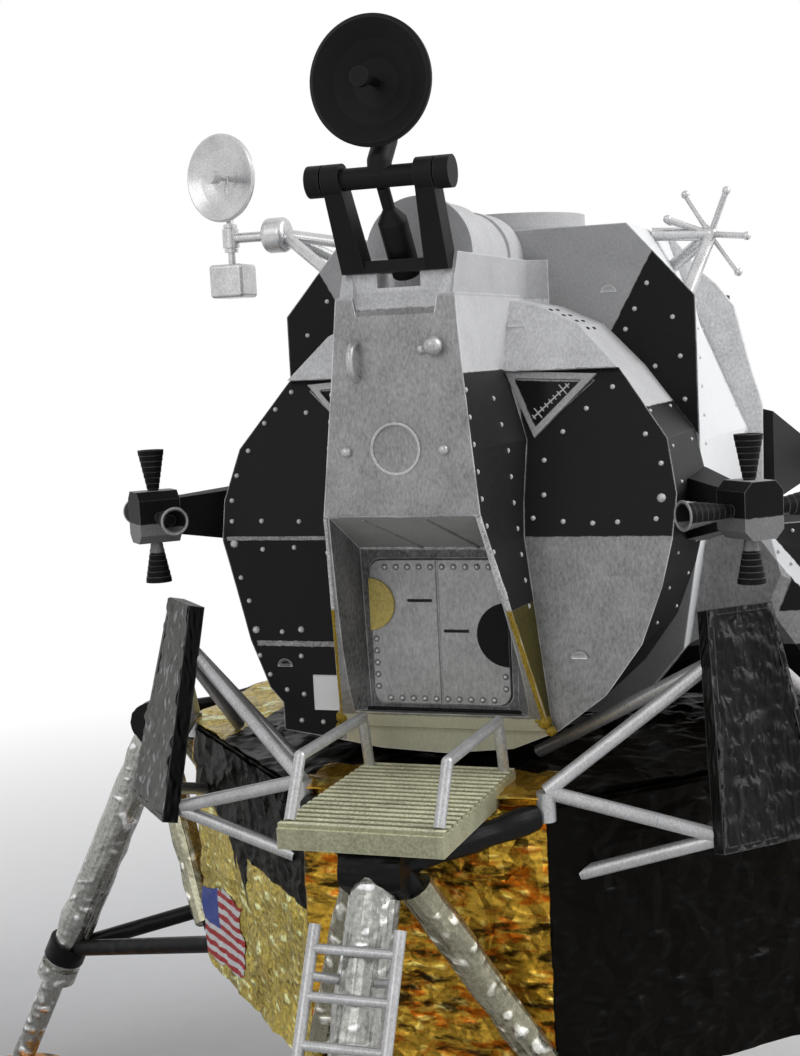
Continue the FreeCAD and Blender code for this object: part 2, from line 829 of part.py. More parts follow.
def rounded_plate(half, low, height, corner, y, thick):
    box = Part.makeBox(2 * half, thick, height, V(-half, y, low))
    upright = [edge for edge in box.Edges
               if abs(edge.Vertexes[0].Point.y - edge.Vertexes[1].Point.y) > thick / 2]
    return box.makeFillet(corner, upright)


def hatch_seat():
    half = hatch_half + seat_gap
    depth = hatch_thick - hatch_proud
    return rounded_plate(half, hatch_low - seat_gap, hatch_height + 2 * seat_gap, hatch_corner,
                         -hatch_plane - overrun, depth + overrun)


def hatch():
    depth = hatch_thick - hatch_proud
    plate = rounded_plate(hatch_half, hatch_low, hatch_height, hatch_corner, -hatch_plane - hatch_proud,
                          depth + hatch_proud - seat_gap / 2)
    field = rounded_plate(hatch_half - hatch_rim, hatch_low + hatch_rim, hatch_height - 2 * hatch_rim,
                          hatch_corner - hatch_rim / 2, -hatch_plane - hatch_proud - overrun,
                          overrun + hatch_proud / 2)
    return plate.cut(field)


def window(side):
    normal = window_normal()
    frame = slab(window_points(side, 0), normal * (window_thick - seat_gap / 2))
    frame.translate(normal * (window_proud - window_thick + seat_gap / 2))
    pane_room = slab(window_points(side, -window_frame), normal * overrun)
    pane_room.translate(normal * (window_proud / 2))
    return frame.cut(pane_room)


def tunnel_fairing():
    axis = ridge_top + fairing_lift
    length = fairing_front - mid_half_depth
    body = None
    for (start_share, size_share), (end_share, _) in zip(fairing_step_shares, fairing_step_shares[1:]):
        start = V(0, length * start_share - fairing_front, axis)
        drum = Part.makeCylinder(fairing_radius * size_share, length * (end_share - start_share), start,
                                 V(0, 1, 0))
        body = drum if body is None else body.fuse(drum)
    floor = Part.makeBox(2 * fairing_radius, length, 2 * fairing_radius,
                         V(-fairing_radius, -fairing_front, ridge_top - 2 * fairing_radius))
    return body.cut(floor)


# Midsection between the cabin and the aft bay
def mid_ring(shares, inset, y):
    low = mid_bottom + inset
    height = mid_top - inset - low
    half = mid_half - inset
    right = [V(half * x, y, low + height * z) for x, z in shares]
    left = [V(-point.x, y, point.z) for point in reversed(right)]
    return right + left


def mid_body(inset):
    rings = [mid_ring(mid_front_shares, inset, inset - mid_half_depth),
             mid_ring(mid_rear_shares, inset, mid_half_depth - inset)]
    return ruled(rings)


def mid_block():
    plate = slab(mid_ring(mid_plate_shares, 0, mid_half_depth - mid_plate_thick), V(0, mid_plate_thick, 0))
    return mid_body(0).fuse(plate)


def midsection():
    tunnel_low = dock_top - dock_depth - dock_lip
    body = mid_block().cut(mid_body(mid_wall))
    return body.cut(Part.makeCylinder(dock_radius, mid_top - tunnel_low + overrun, V(0, 0, tunnel_low)))


def docking_ring():
    low = mid_top
    base = dock_top - dock_depth
    profile = [(dock_bore, dock_top), (dock_radius, dock_top), (dock_radius, low + dock_flange),
               (dock_flange_radius, low + dock_flange), (dock_flange_radius, low), (dock_radius - seat_gap, low),
               (dock_radius - seat_gap, base - dock_lip), (0, base - dock_lip), (0, base), (dock_bore, base)]
    return turned(profile)


# Tank fairings at the sides
def tank_ring(shares, out, root_step, y):
    height = tank_top_z - mid_bottom
    ring = [V(mid_half + out * x, y, mid_bottom + height * z) for x, z in shares]
    root_half_share, root_z_share = mid_front_shares[root_step]
    root = V(mid_half * root_half_share, y, mid_bottom + (mid_top - mid_bottom) * root_z_share)
    return [root] + ring + [V(mid_half * root_half_share, y, tank_top_z)]


def tank_fairing(side, out):
    front = tank_ring(tank_front_shares, out, 1, -tank_front)
    middle = tank_ring(tank_side_shares, out, 0, -tank_side)
    back = tank_ring(tank_side_shares, out, 0, mid_half_depth)
    block = ruled([middle, back]).fuse(ruled([front, middle])).cut(mid_block())
    return block if side > 0 else mirrored(block)


# Aft bay with its equipment rack and two round tanks
def aft_bay():
    shoulder_z = aft_top - aft_chamfer
    points = [V(-aft_half, mid_half_depth, aft_bottom), V(aft_half, mid_half_depth, aft_bottom),
              V(aft_half, mid_half_depth, shoulder_z), V(aft_half - aft_chamfer, mid_half_depth, aft_top),
              V(aft_chamfer - aft_half, mid_half_depth, aft_top), V(-aft_half, mid_half_depth, shoulder_z)]
    return slab(points, V(0, aft_depth - aft_rack_thick - mid_half_depth, 0))


def aft_rack():
    start = aft_depth - aft_rack_thick
    height = aft_top - aft_bottom
    plate = Part.makeBox(2 * aft_rack_half, aft_rack_thick, height, V(-aft_rack_half, start, aft_bottom))
    width = 2 * aft_rack_half / aft_rack_columns
    tall = height / aft_rack_rows
    gap = width * aft_rack_gap_share
    for column in range(aft_rack_columns):
        for row in range(aft_rack_rows):
            corner = V(width * column - aft_rack_half + gap, aft_depth - aft_rack_groove,
                       aft_bottom + tall * row + gap)
            plate = plate.cut(Part.makeBox(width - 2 * gap, aft_rack_groove + overrun, tall - 2 * gap, corner))
    return plate


def aft_tank(side):
    centre = V(side * aft_tank_x, aft_tank_y, aft_tank_z)
    tank = ball(centre, aft_tank_radius)
    stub = rod(centre, V(side * aft_half, aft_tank_y, aft_tank_z), aft_stub_radius)
    return tank.fuse(stub).cut(aft_bay())


# A thruster group and the arm that carries it, drawn in the front right corner
def nozzle(base, direction, length):
    line = V(direction.x, direction.y, direction.z).normalize()
    tip = base + line * length
    pieces = []
    for ring in range(nozzle_rings):
        low_share = ring / nozzle_rings
        high_share = (ring + 1) / nozzle_rings
        radius = between_levels(nozzle_throat_radius, nozzle_exit_radius, high_share)
        small = between_levels(nozzle_throat_radius, nozzle_exit_radius, low_share)
        pieces.append(taper(between(base, tip, low_share), between(base, tip, high_share),
                            small, radius - nozzle_ring_step / 2))
    cone = pieces[0].multiFuse(pieces[1:])
    mouth = taper(tip - line * nozzle_bore_depth, tip, nozzle_throat_radius, nozzle_exit_radius - nozzle_wall)
    return cone.cut(mouth)


def quad_house():
    centre = V(0, 0, quad_z)
    half = quad_house_half
    height = quad_house_height
    cut = quad_house_chamfer
    outline = [V(-half, -half, -height + cut), V(-half + cut, -half, -height), V(half - cut, -half, -height),
               V(half, -half, -height + cut), V(half, -half, height - cut), V(half - cut, -half, height),
               V(-half + cut, -half, height), V(-half, -half, height - cut)]
    house = slab([point + centre for point in outline], V(0, 2 * half, 0))
    return house


def quad():
    body = quad_house()
    centre = V(0, 0, quad_z)
    up = V(0, 0, 1)
    side = V(1, 0, 0)
    start = quad_house_height * nozzle_seat_share
    body = body.fuse(nozzle(centre + up * start, up, quad_half_height - start))
    body = body.fuse(nozzle(centre - up * start, up * -1, quad_half_height - start))
    flank = quad_house_half * nozzle_seat_share
    body = body.fuse(nozzle(centre + side * flank, side, quad_side_reach - flank))
    body = body.fuse(nozzle(centre - side * flank, side * -1, quad_side_reach - flank))
    body.rotate(V(0, 0, 0), V(0, 0, 1), 45)
    body.translate(V(quad_at, -quad_at, 0))
    return body


def quad_arm(root, low_z, top_z):
    out = V(1, -1, 0).normalize()
    side = V(1, 1, 0).normalize()
    tip = V(quad_at, -quad_at, 0) - out * quad_house_half
    rings = []
    for middle, half, low, high in ((root, arm_root_half, low_z, top_z),
                                    (tip, arm_tip_half, arm_tip_low_z, arm_tip_top_z)):
        near = middle - side * half
        far = middle + side * half
        rings.append([near + V(0, 0, low), far + V(0, 0, low), far + V(0, 0, high), near + V(0, 0, high)])
    return ruled(rings)


# Ascent engine under the midsection
def ascent_engine():
    return bell(mid_bottom, ascent_bell_exit_z, ascent_bell_throat_radius, ascent_bell_exit_radius,
                ascent_bell_wall, bell_curve_share)


# Radar yoke, mast and dish
def radar_foot(side):
    return V(side * (radar_boss_half - radar_arm_foot_in), radar_arm_foot_back - radar_axis_y, cradle_top)


def radar_arm(side):
    head = V(side * radar_boss_half, -radar_axis_y, radar_axis_z)
    foot = radar_foot(side)
    half = radar_arm_thick / 2
    foot_half = half * radar_arm_foot_share
    head_half = radar_arm_head_width / 2
    foot_reach = radar_arm_width / 2
    head_in = head - V(side * radar_boss_width, 0, 0)
    neck_half = head_half * radar_arm_neck_share
    top_ring = [head_in + V(-half, -neck_half, 0), head_in + V(half, -neck_half, 0),
                head_in + V(half, neck_half, 0), head_in + V(-half, neck_half, 0)]
    foot_ring = [foot + V(-foot_half, -foot_reach, 0), foot + V(foot_half, -foot_reach, 0),
                 foot + V(foot_half, foot_reach, 0), foot + V(-foot_half, foot_reach, 0)]
    arm = ruled([foot_ring, top_ring])
    eye = rod(head_in - V(half, 0, 0), head_in + V(half, 0, 0), head_half)
    hole = rod(head_in - V(half + overrun, 0, 0), head_in + V(half + overrun, 0, 0), radar_bar_radius + pin_gap)
    return arm.fuse(eye).cut(hole)


def radar_yoke():
    axis = V(0, -radar_axis_y, radar_axis_z)
    foot = V(0, radar_mast_back - notch_ledge, cradle_top)
    line = (axis - foot).normalize()
    tip = axis - line * (radar_bar_radius + pin_gap)
    shoulder = between(foot, axis, radar_mast_shoulder_share)
    neck = between(foot, axis, radar_mast_cone_share)
    mast = rod(foot, shoulder, radar_mast_radius).fuse(rod(neck, tip, radar_mast_rod_radius))
    cone = taper(shoulder, neck, radar_mast_radius, radar_mast_rod_radius)
    base_half = radar_foot(1).x
    back = radar_foot(1).y + radar_arm_width / 2
    base = Part.makeBox(2 * base_half, radar_arm_width, radar_base_height,
                        V(-base_half, back - radar_arm_width, cradle_top))
    yoke = radar_arm(-1).multiFuse([radar_arm(1), mast, cone, base])
    return yoke.cut(cabin_roof())


def dish(centre, facing, radius, depth, wall):
    lip = wall * dish_lip_share
    back = [(radius * x, depth * z) for x, z in dish_curve_shares]
    front = [((radius - lip) * x, depth * z + wall) for x, z in dish_curve_shares]
    profile = back + [(radius, depth + lip)] + front[::-1]
    bowl = turned(profile)
    turn = FreeCAD.Rotation(V(0, 0, 1), facing)
    bowl.Placement = FreeCAD.Placement(centre, turn).multiply(bowl.Placement)
    return bowl


def radar_head():
    axis = V(0, -radar_axis_y, radar_axis_z)
    reach = radar_boss_half + radar_boss_width / 2
    inner = radar_boss_half - radar_boss_width + radar_arm_thick / 2 + pin_gap * 3
    bar = rod(axis - V(reach, 0, 0), axis + V(reach, 0, 0), radar_bar_radius)
    bosses = [rod(axis + V(side * inner, 0, 0), axis + V(side * reach, 0, 0), radar_boss_radius)
              for side in (-1, 1)]
    dish_middle = axis + V(0, 0, radar_dish_centre)
    facing = V(0, -1, 0)
    bowl = dish(dish_middle + V(0, radar_dish_depth / 2, 0), facing, radar_dish_radius, radar_dish_depth,
                radar_dish_wall)
    back = dish_middle + V(0, radar_dish_depth / 2, 0)
    neck = bent_rod([axis, axis + V(0, 0, radar_neck_rise), axis + V(0, radar_neck_back, radar_neck_bend),
                     back + V(0, radar_neck_radius - radar_dish_wall / 2, 0)], radar_neck_radius)
    feed = rod(back, back + facing * (radar_dish_depth + radar_feed_length), radar_feed_rod_radius)
    cup = rod(back + facing * (radar_dish_depth + radar_feed_length - radar_feed_radius),
              back + facing * (radar_dish_depth + radar_feed_length), radar_feed_radius)
    return bar.multiFuse(bosses + [neck, bowl, feed, cup])


# Steerable dish: fixed boom and hub, then the elbow, then the dish on its post
def sband_boom():
    hub_axis = V(0, -sband_axis_y, sband_axis_z)
    out = hub_axis - V(sband_hub_out, 0, 0)
    inner = hub_axis - V(sband_hub_in, 0, 0)
    hub = rod(out, inner, sband_hub_radius)
    rims = [edge for edge in hub.Edges if edge.Closed]
    hub = hub.makeFillet(sband_hub_round, rims)
    start = inner - V(sband_rod_radius, 0, 0)
    legs = []
    for along_share, shift in ((0, 0), (sband_brace_share, -sband_brace_y), (sband_brace_share, sband_brace_y)):
        foot = shoulder_point(along_share, shift - sband_axis_y)
        legs.append(rod(start, V(-foot.x, foot.y, foot.z), sband_boom_radius))
    pin_room = rod(out - V(overrun, 0, 0), out + V(sband_pin_depth + pin_gap, 0, 0), sband_pin_radius + pin_gap)
    return hub.multiFuse(legs).cut(pin_room).cut(mid_block())


def sband_elbow():
    hub_axis = V(0, -sband_axis_y, sband_axis_z)
    face = hub_axis - V(sband_hub_out + pin_gap * 2, 0, 0)
    sleeve_axis = V(-sband_post_x, -sband_axis_y, sband_axis_z)
    bar = rod(sleeve_axis, face, sband_rod_radius)
    pin = rod(face, face + V(sband_pin_depth, 0, 0), sband_pin_radius)
    sleeve = rod(sleeve_axis - V(0, 0, sband_sleeve_half), sleeve_axis + V(0, 0, sband_sleeve_half),
                 sband_sleeve_radius)
    hole = rod(sleeve_axis - V(0, 0, sband_sleeve_half + overrun),
               sleeve_axis + V(0, 0, sband_sleeve_half + overrun), sband_post_radius + pin_gap)
    return bar.multiFuse([pin, sleeve]).cut(hole)


def sband_head():
    axis = V(-sband_post_x, -sband_axis_y, 0)
    post = rod(axis + V(0, 0, sband_post_low_z), axis + V(0, 0, sband_dish_z), sband_post_radius)
    gap = sband_sleeve_half + pin_gap * 2
    high = rod(axis + V(0, 0, sband_axis_z + gap), axis + V(0, 0, sband_axis_z + gap + sband_collar_height),
               sband_collar_radius)
    low = rod(axis + V(0, 0, sband_axis_z - gap - sband_collar_height), axis + V(0, 0, sband_axis_z - gap),
              sband_collar_radius)
    half = sband_weight_half
    weight = Part.makeBox(2 * half, 2 * half, sband_weight_height,
                          axis + V(-half, -half, sband_post_low_z - sband_weight_height))
    weight = weight.makeFillet(sband_weight_corner, weight.Edges)
    turn = FreeCAD.Rotation(V(0, 0, 1), sband_dish_turn)
    facing = turn.multVec(V(0, -1, 0))
    centre = axis + V(0, 0, sband_dish_z) + facing * (sband_dish_forward - sband_dish_depth)
    bowl = dish(centre, facing, sband_dish_radius, sband_dish_depth, sband_dish_wall)
    feed = rod(centre, centre + facing * (sband_dish_depth + sband_feed_length), sband_feed_rod_radius)
    cup = rod(centre + facing * sband_feed_length, centre + facing * (sband_dish_depth + sband_feed_length),
              sband_feed_radius)
    return post.multiFuse([high, low, weight, bowl, feed, cup])


# Cluster of short whips on a three-legged mount
def shoulder_point(along_share, y):
    depth_share = (y + mid_half_depth) / (2 * mid_half_depth)
    front = mid_ring(mid_front_shares, 0, -mid_half_depth)
    rear = mid_ring(mid_rear_shares, 0, mid_half_depth)
    top, low = [between(front[step], rear[step], depth_share) for step in (5, 4)]
    return between(top, low, along_share)


def whip_antenna():
    hub = V(mid_half - whip_in, whip_y, mid_top - whip_down)
    pieces = [ball(hub, whip_hub_radius)]
    for along_share, back_share in whip_foot_shares:
        foot = shoulder_point(along_share, whip_y + mid_half_depth * back_share)
        pieces.append(rod(foot, hub, whip_leg_radius))
    for x, y, z in whip_direction_shares:
        tip = hub + V(x, y, z).normalize() * whip_length
        pieces.append(rod(hub, tip, whip_radius))
        pieces.append(ball(tip, whip_tip_radius))
    return pieces[0].multiFuse(pieces[1:]).cut(mid_block())


def build_descent():
    save("descent_box", descent_box())
    save("descent_deck", top_deck())
    save("descent_engine_bell", descent_engine())
    leg = {"outrigger": outrigger(), "primary_strut": primary_strut(), "secondary_struts": secondary_struts(),
           "footpad": footpad()}
    quarters = ["front", "right", "aft", "left"]
    for quarter, place in enumerate(quarters):
        for name, shape in leg.items():
            save(name + "_" + place, around(shape, quarter))
    corners = ["front_right", "aft_right", "aft_left", "front_left"]
    plate = shield()
    long_braces = shield_struts(shield_long_shares)
    short_braces = shield_struts(shield_short_shares)
    for quarter, place in enumerate(corners):
        braces = long_braces if place == "front_right" else short_braces
        save("deflector_" + place, around(plate, quarter))
        save("deflector_struts_" + place, around(braces, quarter))
    save("ladder", ladder())
    save("porch", porch())
    save("porch_rails", porch_rails())


def build_ascent():
    cabin = cabin_shell()
    save("cabin_shell", cabin)
    save("nose_fittings", nose_fittings())
    save("hatch", hatch())
    save("window_right", window(1))
    save("window_left", window(-1))
    save("tunnel_fairing", tunnel_fairing())
    save("midsection", midsection())
    save("docking_ring", docking_ring())
    save("tank_fairing_right", tank_fairing(1, tank_right_out))
    save("tank_fairing_left", tank_fairing(-1, tank_left_out))
    save("aft_bay", aft_bay())
    save("aft_rack", aft_rack())
    save("aft_tank_right", aft_tank(1))
    save("aft_tank_left", aft_tank(-1))
    group = quad()
    body = mid_block().fuse(drum_block())
    front_arm = quad_arm(V(cabin_radius - arm_root_in, -arm_root_y, 0), arm_root_low_z, arm_root_top_z)
    aft_arm = quad_arm(V(mid_half + arm_aft_out, -arm_aft_y, 0), arm_aft_low_z, arm_aft_top_z)
    wall = Part.makeBox(4 * mid_half, 2 * mid_half_depth, mid_top, V(-2 * mid_half, -mid_half_depth, 0))
    front_arm = front_arm.cut(wall)
    aft_arm = aft_arm.cut(wall).mirror(V(0, 0, 0), V(0, 1, 0))
    arms = [front_arm, aft_arm, mirrored(aft_arm), mirrored(front_arm)]
    corners = ["front_right", "aft_right", "aft_left", "front_left"]
    tanks = [tank_fairing(1, tank_right_out), tank_fairing(-1, tank_left_out)]
    for quarter, place in enumerate(corners):
        save("thruster_group_" + place, around(group, quarter))
        arm = arms[quarter].cut(around(group, quarter)).cut(body)
        save("thruster_arm_" + place, arm.cut(tanks[0]).cut(tanks[1]))
    save("ascent_engine_bell", ascent_engine())


def build_antennas():
    save("radar_yoke", radar_yoke())
    save("radar_dish", radar_head())
    save("dish_boom", sband_boom())
    save("dish_elbow", sband_elbow())
    save("dish_head", sband_head())
    save("whip_antenna", whip_antenna())


build_descent()
build_ascent()
build_antennas()
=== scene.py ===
# %% [markdown]
# # A two-stage lunar lander, as a small display model
# This lesson paints those parts, crumples the foil and adds what a modeller adds with a fine brush and a
# needle: rivets, seams, the groove in the hatch, the scale on the window pane. All added pieces ride on
# one of the model's bodies, so that the joints still move them.

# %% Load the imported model
import math
import bpy
from mathutils import Matrix, Vector

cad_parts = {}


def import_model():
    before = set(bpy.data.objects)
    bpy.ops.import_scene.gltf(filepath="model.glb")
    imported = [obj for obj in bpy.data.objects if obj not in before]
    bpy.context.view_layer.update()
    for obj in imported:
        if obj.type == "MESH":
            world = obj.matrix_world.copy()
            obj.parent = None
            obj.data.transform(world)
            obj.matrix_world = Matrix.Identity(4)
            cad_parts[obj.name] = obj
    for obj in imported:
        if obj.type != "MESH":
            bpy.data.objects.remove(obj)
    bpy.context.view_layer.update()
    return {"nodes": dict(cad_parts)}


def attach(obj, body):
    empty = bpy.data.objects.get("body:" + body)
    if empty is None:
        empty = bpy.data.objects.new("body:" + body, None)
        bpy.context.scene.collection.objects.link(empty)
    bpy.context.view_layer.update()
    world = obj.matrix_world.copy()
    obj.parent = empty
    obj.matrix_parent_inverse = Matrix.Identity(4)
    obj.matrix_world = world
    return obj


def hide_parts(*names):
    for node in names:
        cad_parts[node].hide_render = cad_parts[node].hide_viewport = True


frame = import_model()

cad = frame["nodes"]
mm = 0.001
print("moulded parts:", len(cad))

# %% [markdown]
# ## The camera
# The photograph was taken from close by, a little to the right of the porch and about as high as the
# cabin. Its height is stretched against its width, so this plain camera keeps the viewing angle and shows
# the model in its true proportions. A matrix built from three directions leaves no doubt about the roll.

# %% Camera
yaw, pitch, roll = 0.33041, 0.110894, -0.046511
eye = Vector((60.87, -204.1, 115.55))
focal_length, sideways, zoom = 64.83, -0.0684, 1.1
ahead = Vector((-math.sin(yaw) * math.cos(pitch), math.cos(yaw) * math.cos(pitch), -math.sin(pitch)))
level = Vector((math.cos(yaw), math.sin(yaw), 0))
upright = level.cross(ahead)
rightward = level * math.cos(roll) + upright * math.sin(roll)
upward = upright * math.cos(roll) - level * math.sin(roll)
bpy.ops.object.camera_add()
camera = bpy.context.object
camera.matrix_world = Matrix((rightward, upward, -ahead)).transposed().to_4x4()
camera.location = eye * mm
camera.data.sensor_fit = "HORIZONTAL"
camera.data.sensor_width = 36
camera.data.lens = focal_length * zoom
camera.data.shift_x = sideways * zoom
camera.data.clip_start = 0.01
bpy.context.scene.camera = camera
print("camera lens", round(camera.data.lens, 1), "mm")

# %% [markdown]
# ## A small paint box
# A modeller's paints differ in four things: colour, how dull they are, how metallic they look, and how
# much their colour is mottled. One table row holds these four, and a few helpers join nodes to one
# material. Every pattern reads Object coordinates in millimetres, so it sits still on the part when a
# joint moves it.

# %% Node helpers
def add(tree, kind, **settings):
    made = tree.nodes.new("ShaderNode" + kind)
    for name, value in settings.items():
        setattr(made, name, value)
    return made


def put(tree, value, socket):
    """Links another node's output to a socket, or writes a number or a colour to it."""
    if isinstance(value, bpy.types.NodeSocket):
        tree.links.new(value, socket)
    elif socket.type == "VECTOR" and not isinstance(value, (int, float)):
        socket.default_value = value[:3]
    else:
        socket.default_value = value


def feed(tree, node, *values):
    """Puts values into a node's first sockets and gives its first output."""
    for value, socket in zip(values, node.inputs):
        put(tree, value, socket)
    return node.outputs[0]


def calc(tree, operation, a, b=0.0):
    return feed(tree, add(tree, "Math", operation=operation), a, b)


def ramp(tree, value, low, high, start=0.0, end=1.0):
    return feed(tree, add(tree, "MapRange"), value, low, high, start, end)


def vector(tree, operation, a, b=None):
    """A step on vectors. For SCALE, b is a number."""
    made = add(tree, "VectorMath", operation=operation)
    put(tree, a, made.inputs[0])
    if b is not None:
        put(tree, b, made.inputs["Scale" if operation == "SCALE" else 1])
    return made.outputs["Value" if operation in ("DOT_PRODUCT", "LENGTH") else "Vector"]


def mix(tree, share, a, b, blend="MIX"):
    """Mixes two numbers or two colours."""
    plain = isinstance(a, (int, float)) or getattr(a, "type", "") == "VALUE"
    made = add(tree, "Mix", data_type="FLOAT" if plain else "RGBA", blend_type=blend)
    first, second, out = (2, 3, 0) if plain else (6, 7, 2)
    for value, socket in ((share, 0), (a, first), (b, second)):
        put(tree, value, made.inputs[socket])
    return made.outputs[out]


def place(tree):
    return vector(tree, "SCALE", add(tree, "TexCoord").outputs["Object"], 1000)


def noise(tree, where, size, stretch=(1, 1, 1), detail=3.0, roughness=0.6):
    """A cloudy pattern with spots of about size millimetres, from 0 to 1."""
    made = add(tree, "TexNoise")
    put(tree, vector(tree, "MULTIPLY", where, [1 / (size * s) for s in stretch]), made.inputs["Vector"])
    for name, value in (("Scale", 1), ("Detail", detail), ("Roughness", roughness)):
        made.inputs[name].default_value = value
    return made.outputs[0]


# %% [markdown]
# ## Where a paint ends
# A field is a list of half-spaces in millimetres: a point belongs to the field where it lies beyond all
# of them, and a rule of the "facing" kind asks which way the surface looks. The sign of x is dropped for
# "mirror", so that one field serves both sides. Six short names stand for the planes that are used most.

# %% Fields
soft_line = 0.06


def split(tree, source):
    made = add(tree, "SeparateXYZ")
    put(tree, source, made.inputs[0])
    return made.outputs


def field(tree, where, faces, rules):
    share = None
    for kind, direction, level in rules:
        source = faces if "facing" in kind else where
        if "mirror" in kind:
            x, y, z = split(tree, source)
            if kind == "mirror":
                x = calc(tree, "ABSOLUTE", x)
            else:
                x = calc(tree, "MULTIPLY", x, calc(tree, "SIGN", split(tree, where)[0]))
            source = feed(tree, add(tree, "CombineXYZ"), x, y, z)
        reach = vector(tree, "DOT_PRODUCT", source, direction)
        passed = ramp(tree, reach, level - soft_line, level + soft_line)
        share = passed if share is None else calc(tree, "MULTIPLY", share, passed)
    return share


def above(z):
    return ("at", (0, 0, 1), z)


def below(z):
    return ("at", (0, 0, -1), -z)


def before(y):
    return ("at", (0, -1, 0), -y)


def behind(y):
    return ("at", (0, 1, 0), y)


def within(x):
    return ("mirror", (-1, 0, 0), -x)


def beyond(x):
    return ("mirror", (1, 0, 0), x)


# %% [markdown]
# ## Paints
# A coat is colour, dullness, metal and mottle. A painted part has a base coat and fields of other coats
# over it. The grain is the brushed texture: noise drawn out along the brush's way, in the colour and in
# the bump. Worn edges come from the Bevel node: where its rounded normal leaves the real one, there is an
# edge. Foil gets ridged noise too: its valleys are tinted darker as painted shade, and its crests are made
# lighter and glint as a painted highlight.

# %% Coats
def grey(level):
    return (level, level, level * 1.01, 1)


silver = (grey(0.27), 0.44, 0.55, 0.55)
satin_silver = (grey(0.31), 0.42, 0.45, 0.45)
shadow_silver = (grey(0.19), 0.5, 0.4, 0.4)
bright_metal = (grey(0.50), 0.30, 0.45, 0.45)
dish_metal = (grey(0.60), 0.27, 0.75, 0.40)
pale = (grey(0.58), 0.55, 0.0, 0.22)
# A lighter copy of pale: painted light on front faces of the cabin and on the midsection's back.
pale_with_painted_light = (grey(0.74), 0.55, 0.0, 0.40)
mid_grey = (grey(0.40), 0.55, 0.1, 0.26)
ridge_grey = (grey(0.50), 0.55, 0.0, 0.22)
ceiling_grey = (grey(0.30), 0.55, 0.1, 0.30)
shadow_grey = (grey(0.16), 0.60, 0.0, 1.1)
white = ((0.86, 0.87, 0.88, 1), 0.50, 0.0, 0.05)
thread_white = (grey(0.55), 0.60, 0.0, 1.0)
cream = ((0.52, 0.52, 0.40, 1), 0.55, 0.0, 0.16)
black = (grey(0.009), 0.50, 0.0, 0.35)
dull_black = (grey(0.012), 0.60, 0.0, 0.50)
cheek_black = (grey(0.016), 0.50, 0.0, 0.35)
pane_black = (grey(0.006), 0.14, 0.0, 0.1)
ochre = ((0.085, 0.072, 0.018, 1), 0.55, 0.0, 0.60)
stain = ((0.32, 0.22, 0.03, 1), 0.50, 0.0, 0.80)
khaki = ((0.37, 0.365, 0.245, 1), 0.45, 0.20, 0.60)
lit_khaki = ((0.88, 0.87, 0.62, 1), 0.36, 0.15, 1.05)
gold = ((0.90, 0.70, 0.17, 1), 0.24, 0.80, 0.60)
olive_gold = ((0.92, 0.94, 0.46, 1), 0.36, 0.35, 1.30)
silver_wrap = (grey(0.92), 0.26, 0.85, 0.60)
warm_wrap = ((0.92, 0.91, 0.80, 1), 0.26, 0.85, 0.60)
black_wrap = (grey(0.005), 0.40, 0.0, 0.45)
# Two lighter coats on deflector foil: painted light on the left deflector's face, painted highlights on the
# right one's left half.
painted_light_wrap = (grey(0.40), 0.60, 0.0, 0.45)
painted_highlight_wrap = (grey(0.022), 0.30, 0.0, 0.95)
# Painted highlight on foil crests, and painted shade in the valleys of silver and black foil.
crest_highlight_tint = (1.15, 1.22, 1.40, 1)
silver_valley_shade = (0.30, 0.30, 0.27, 1)


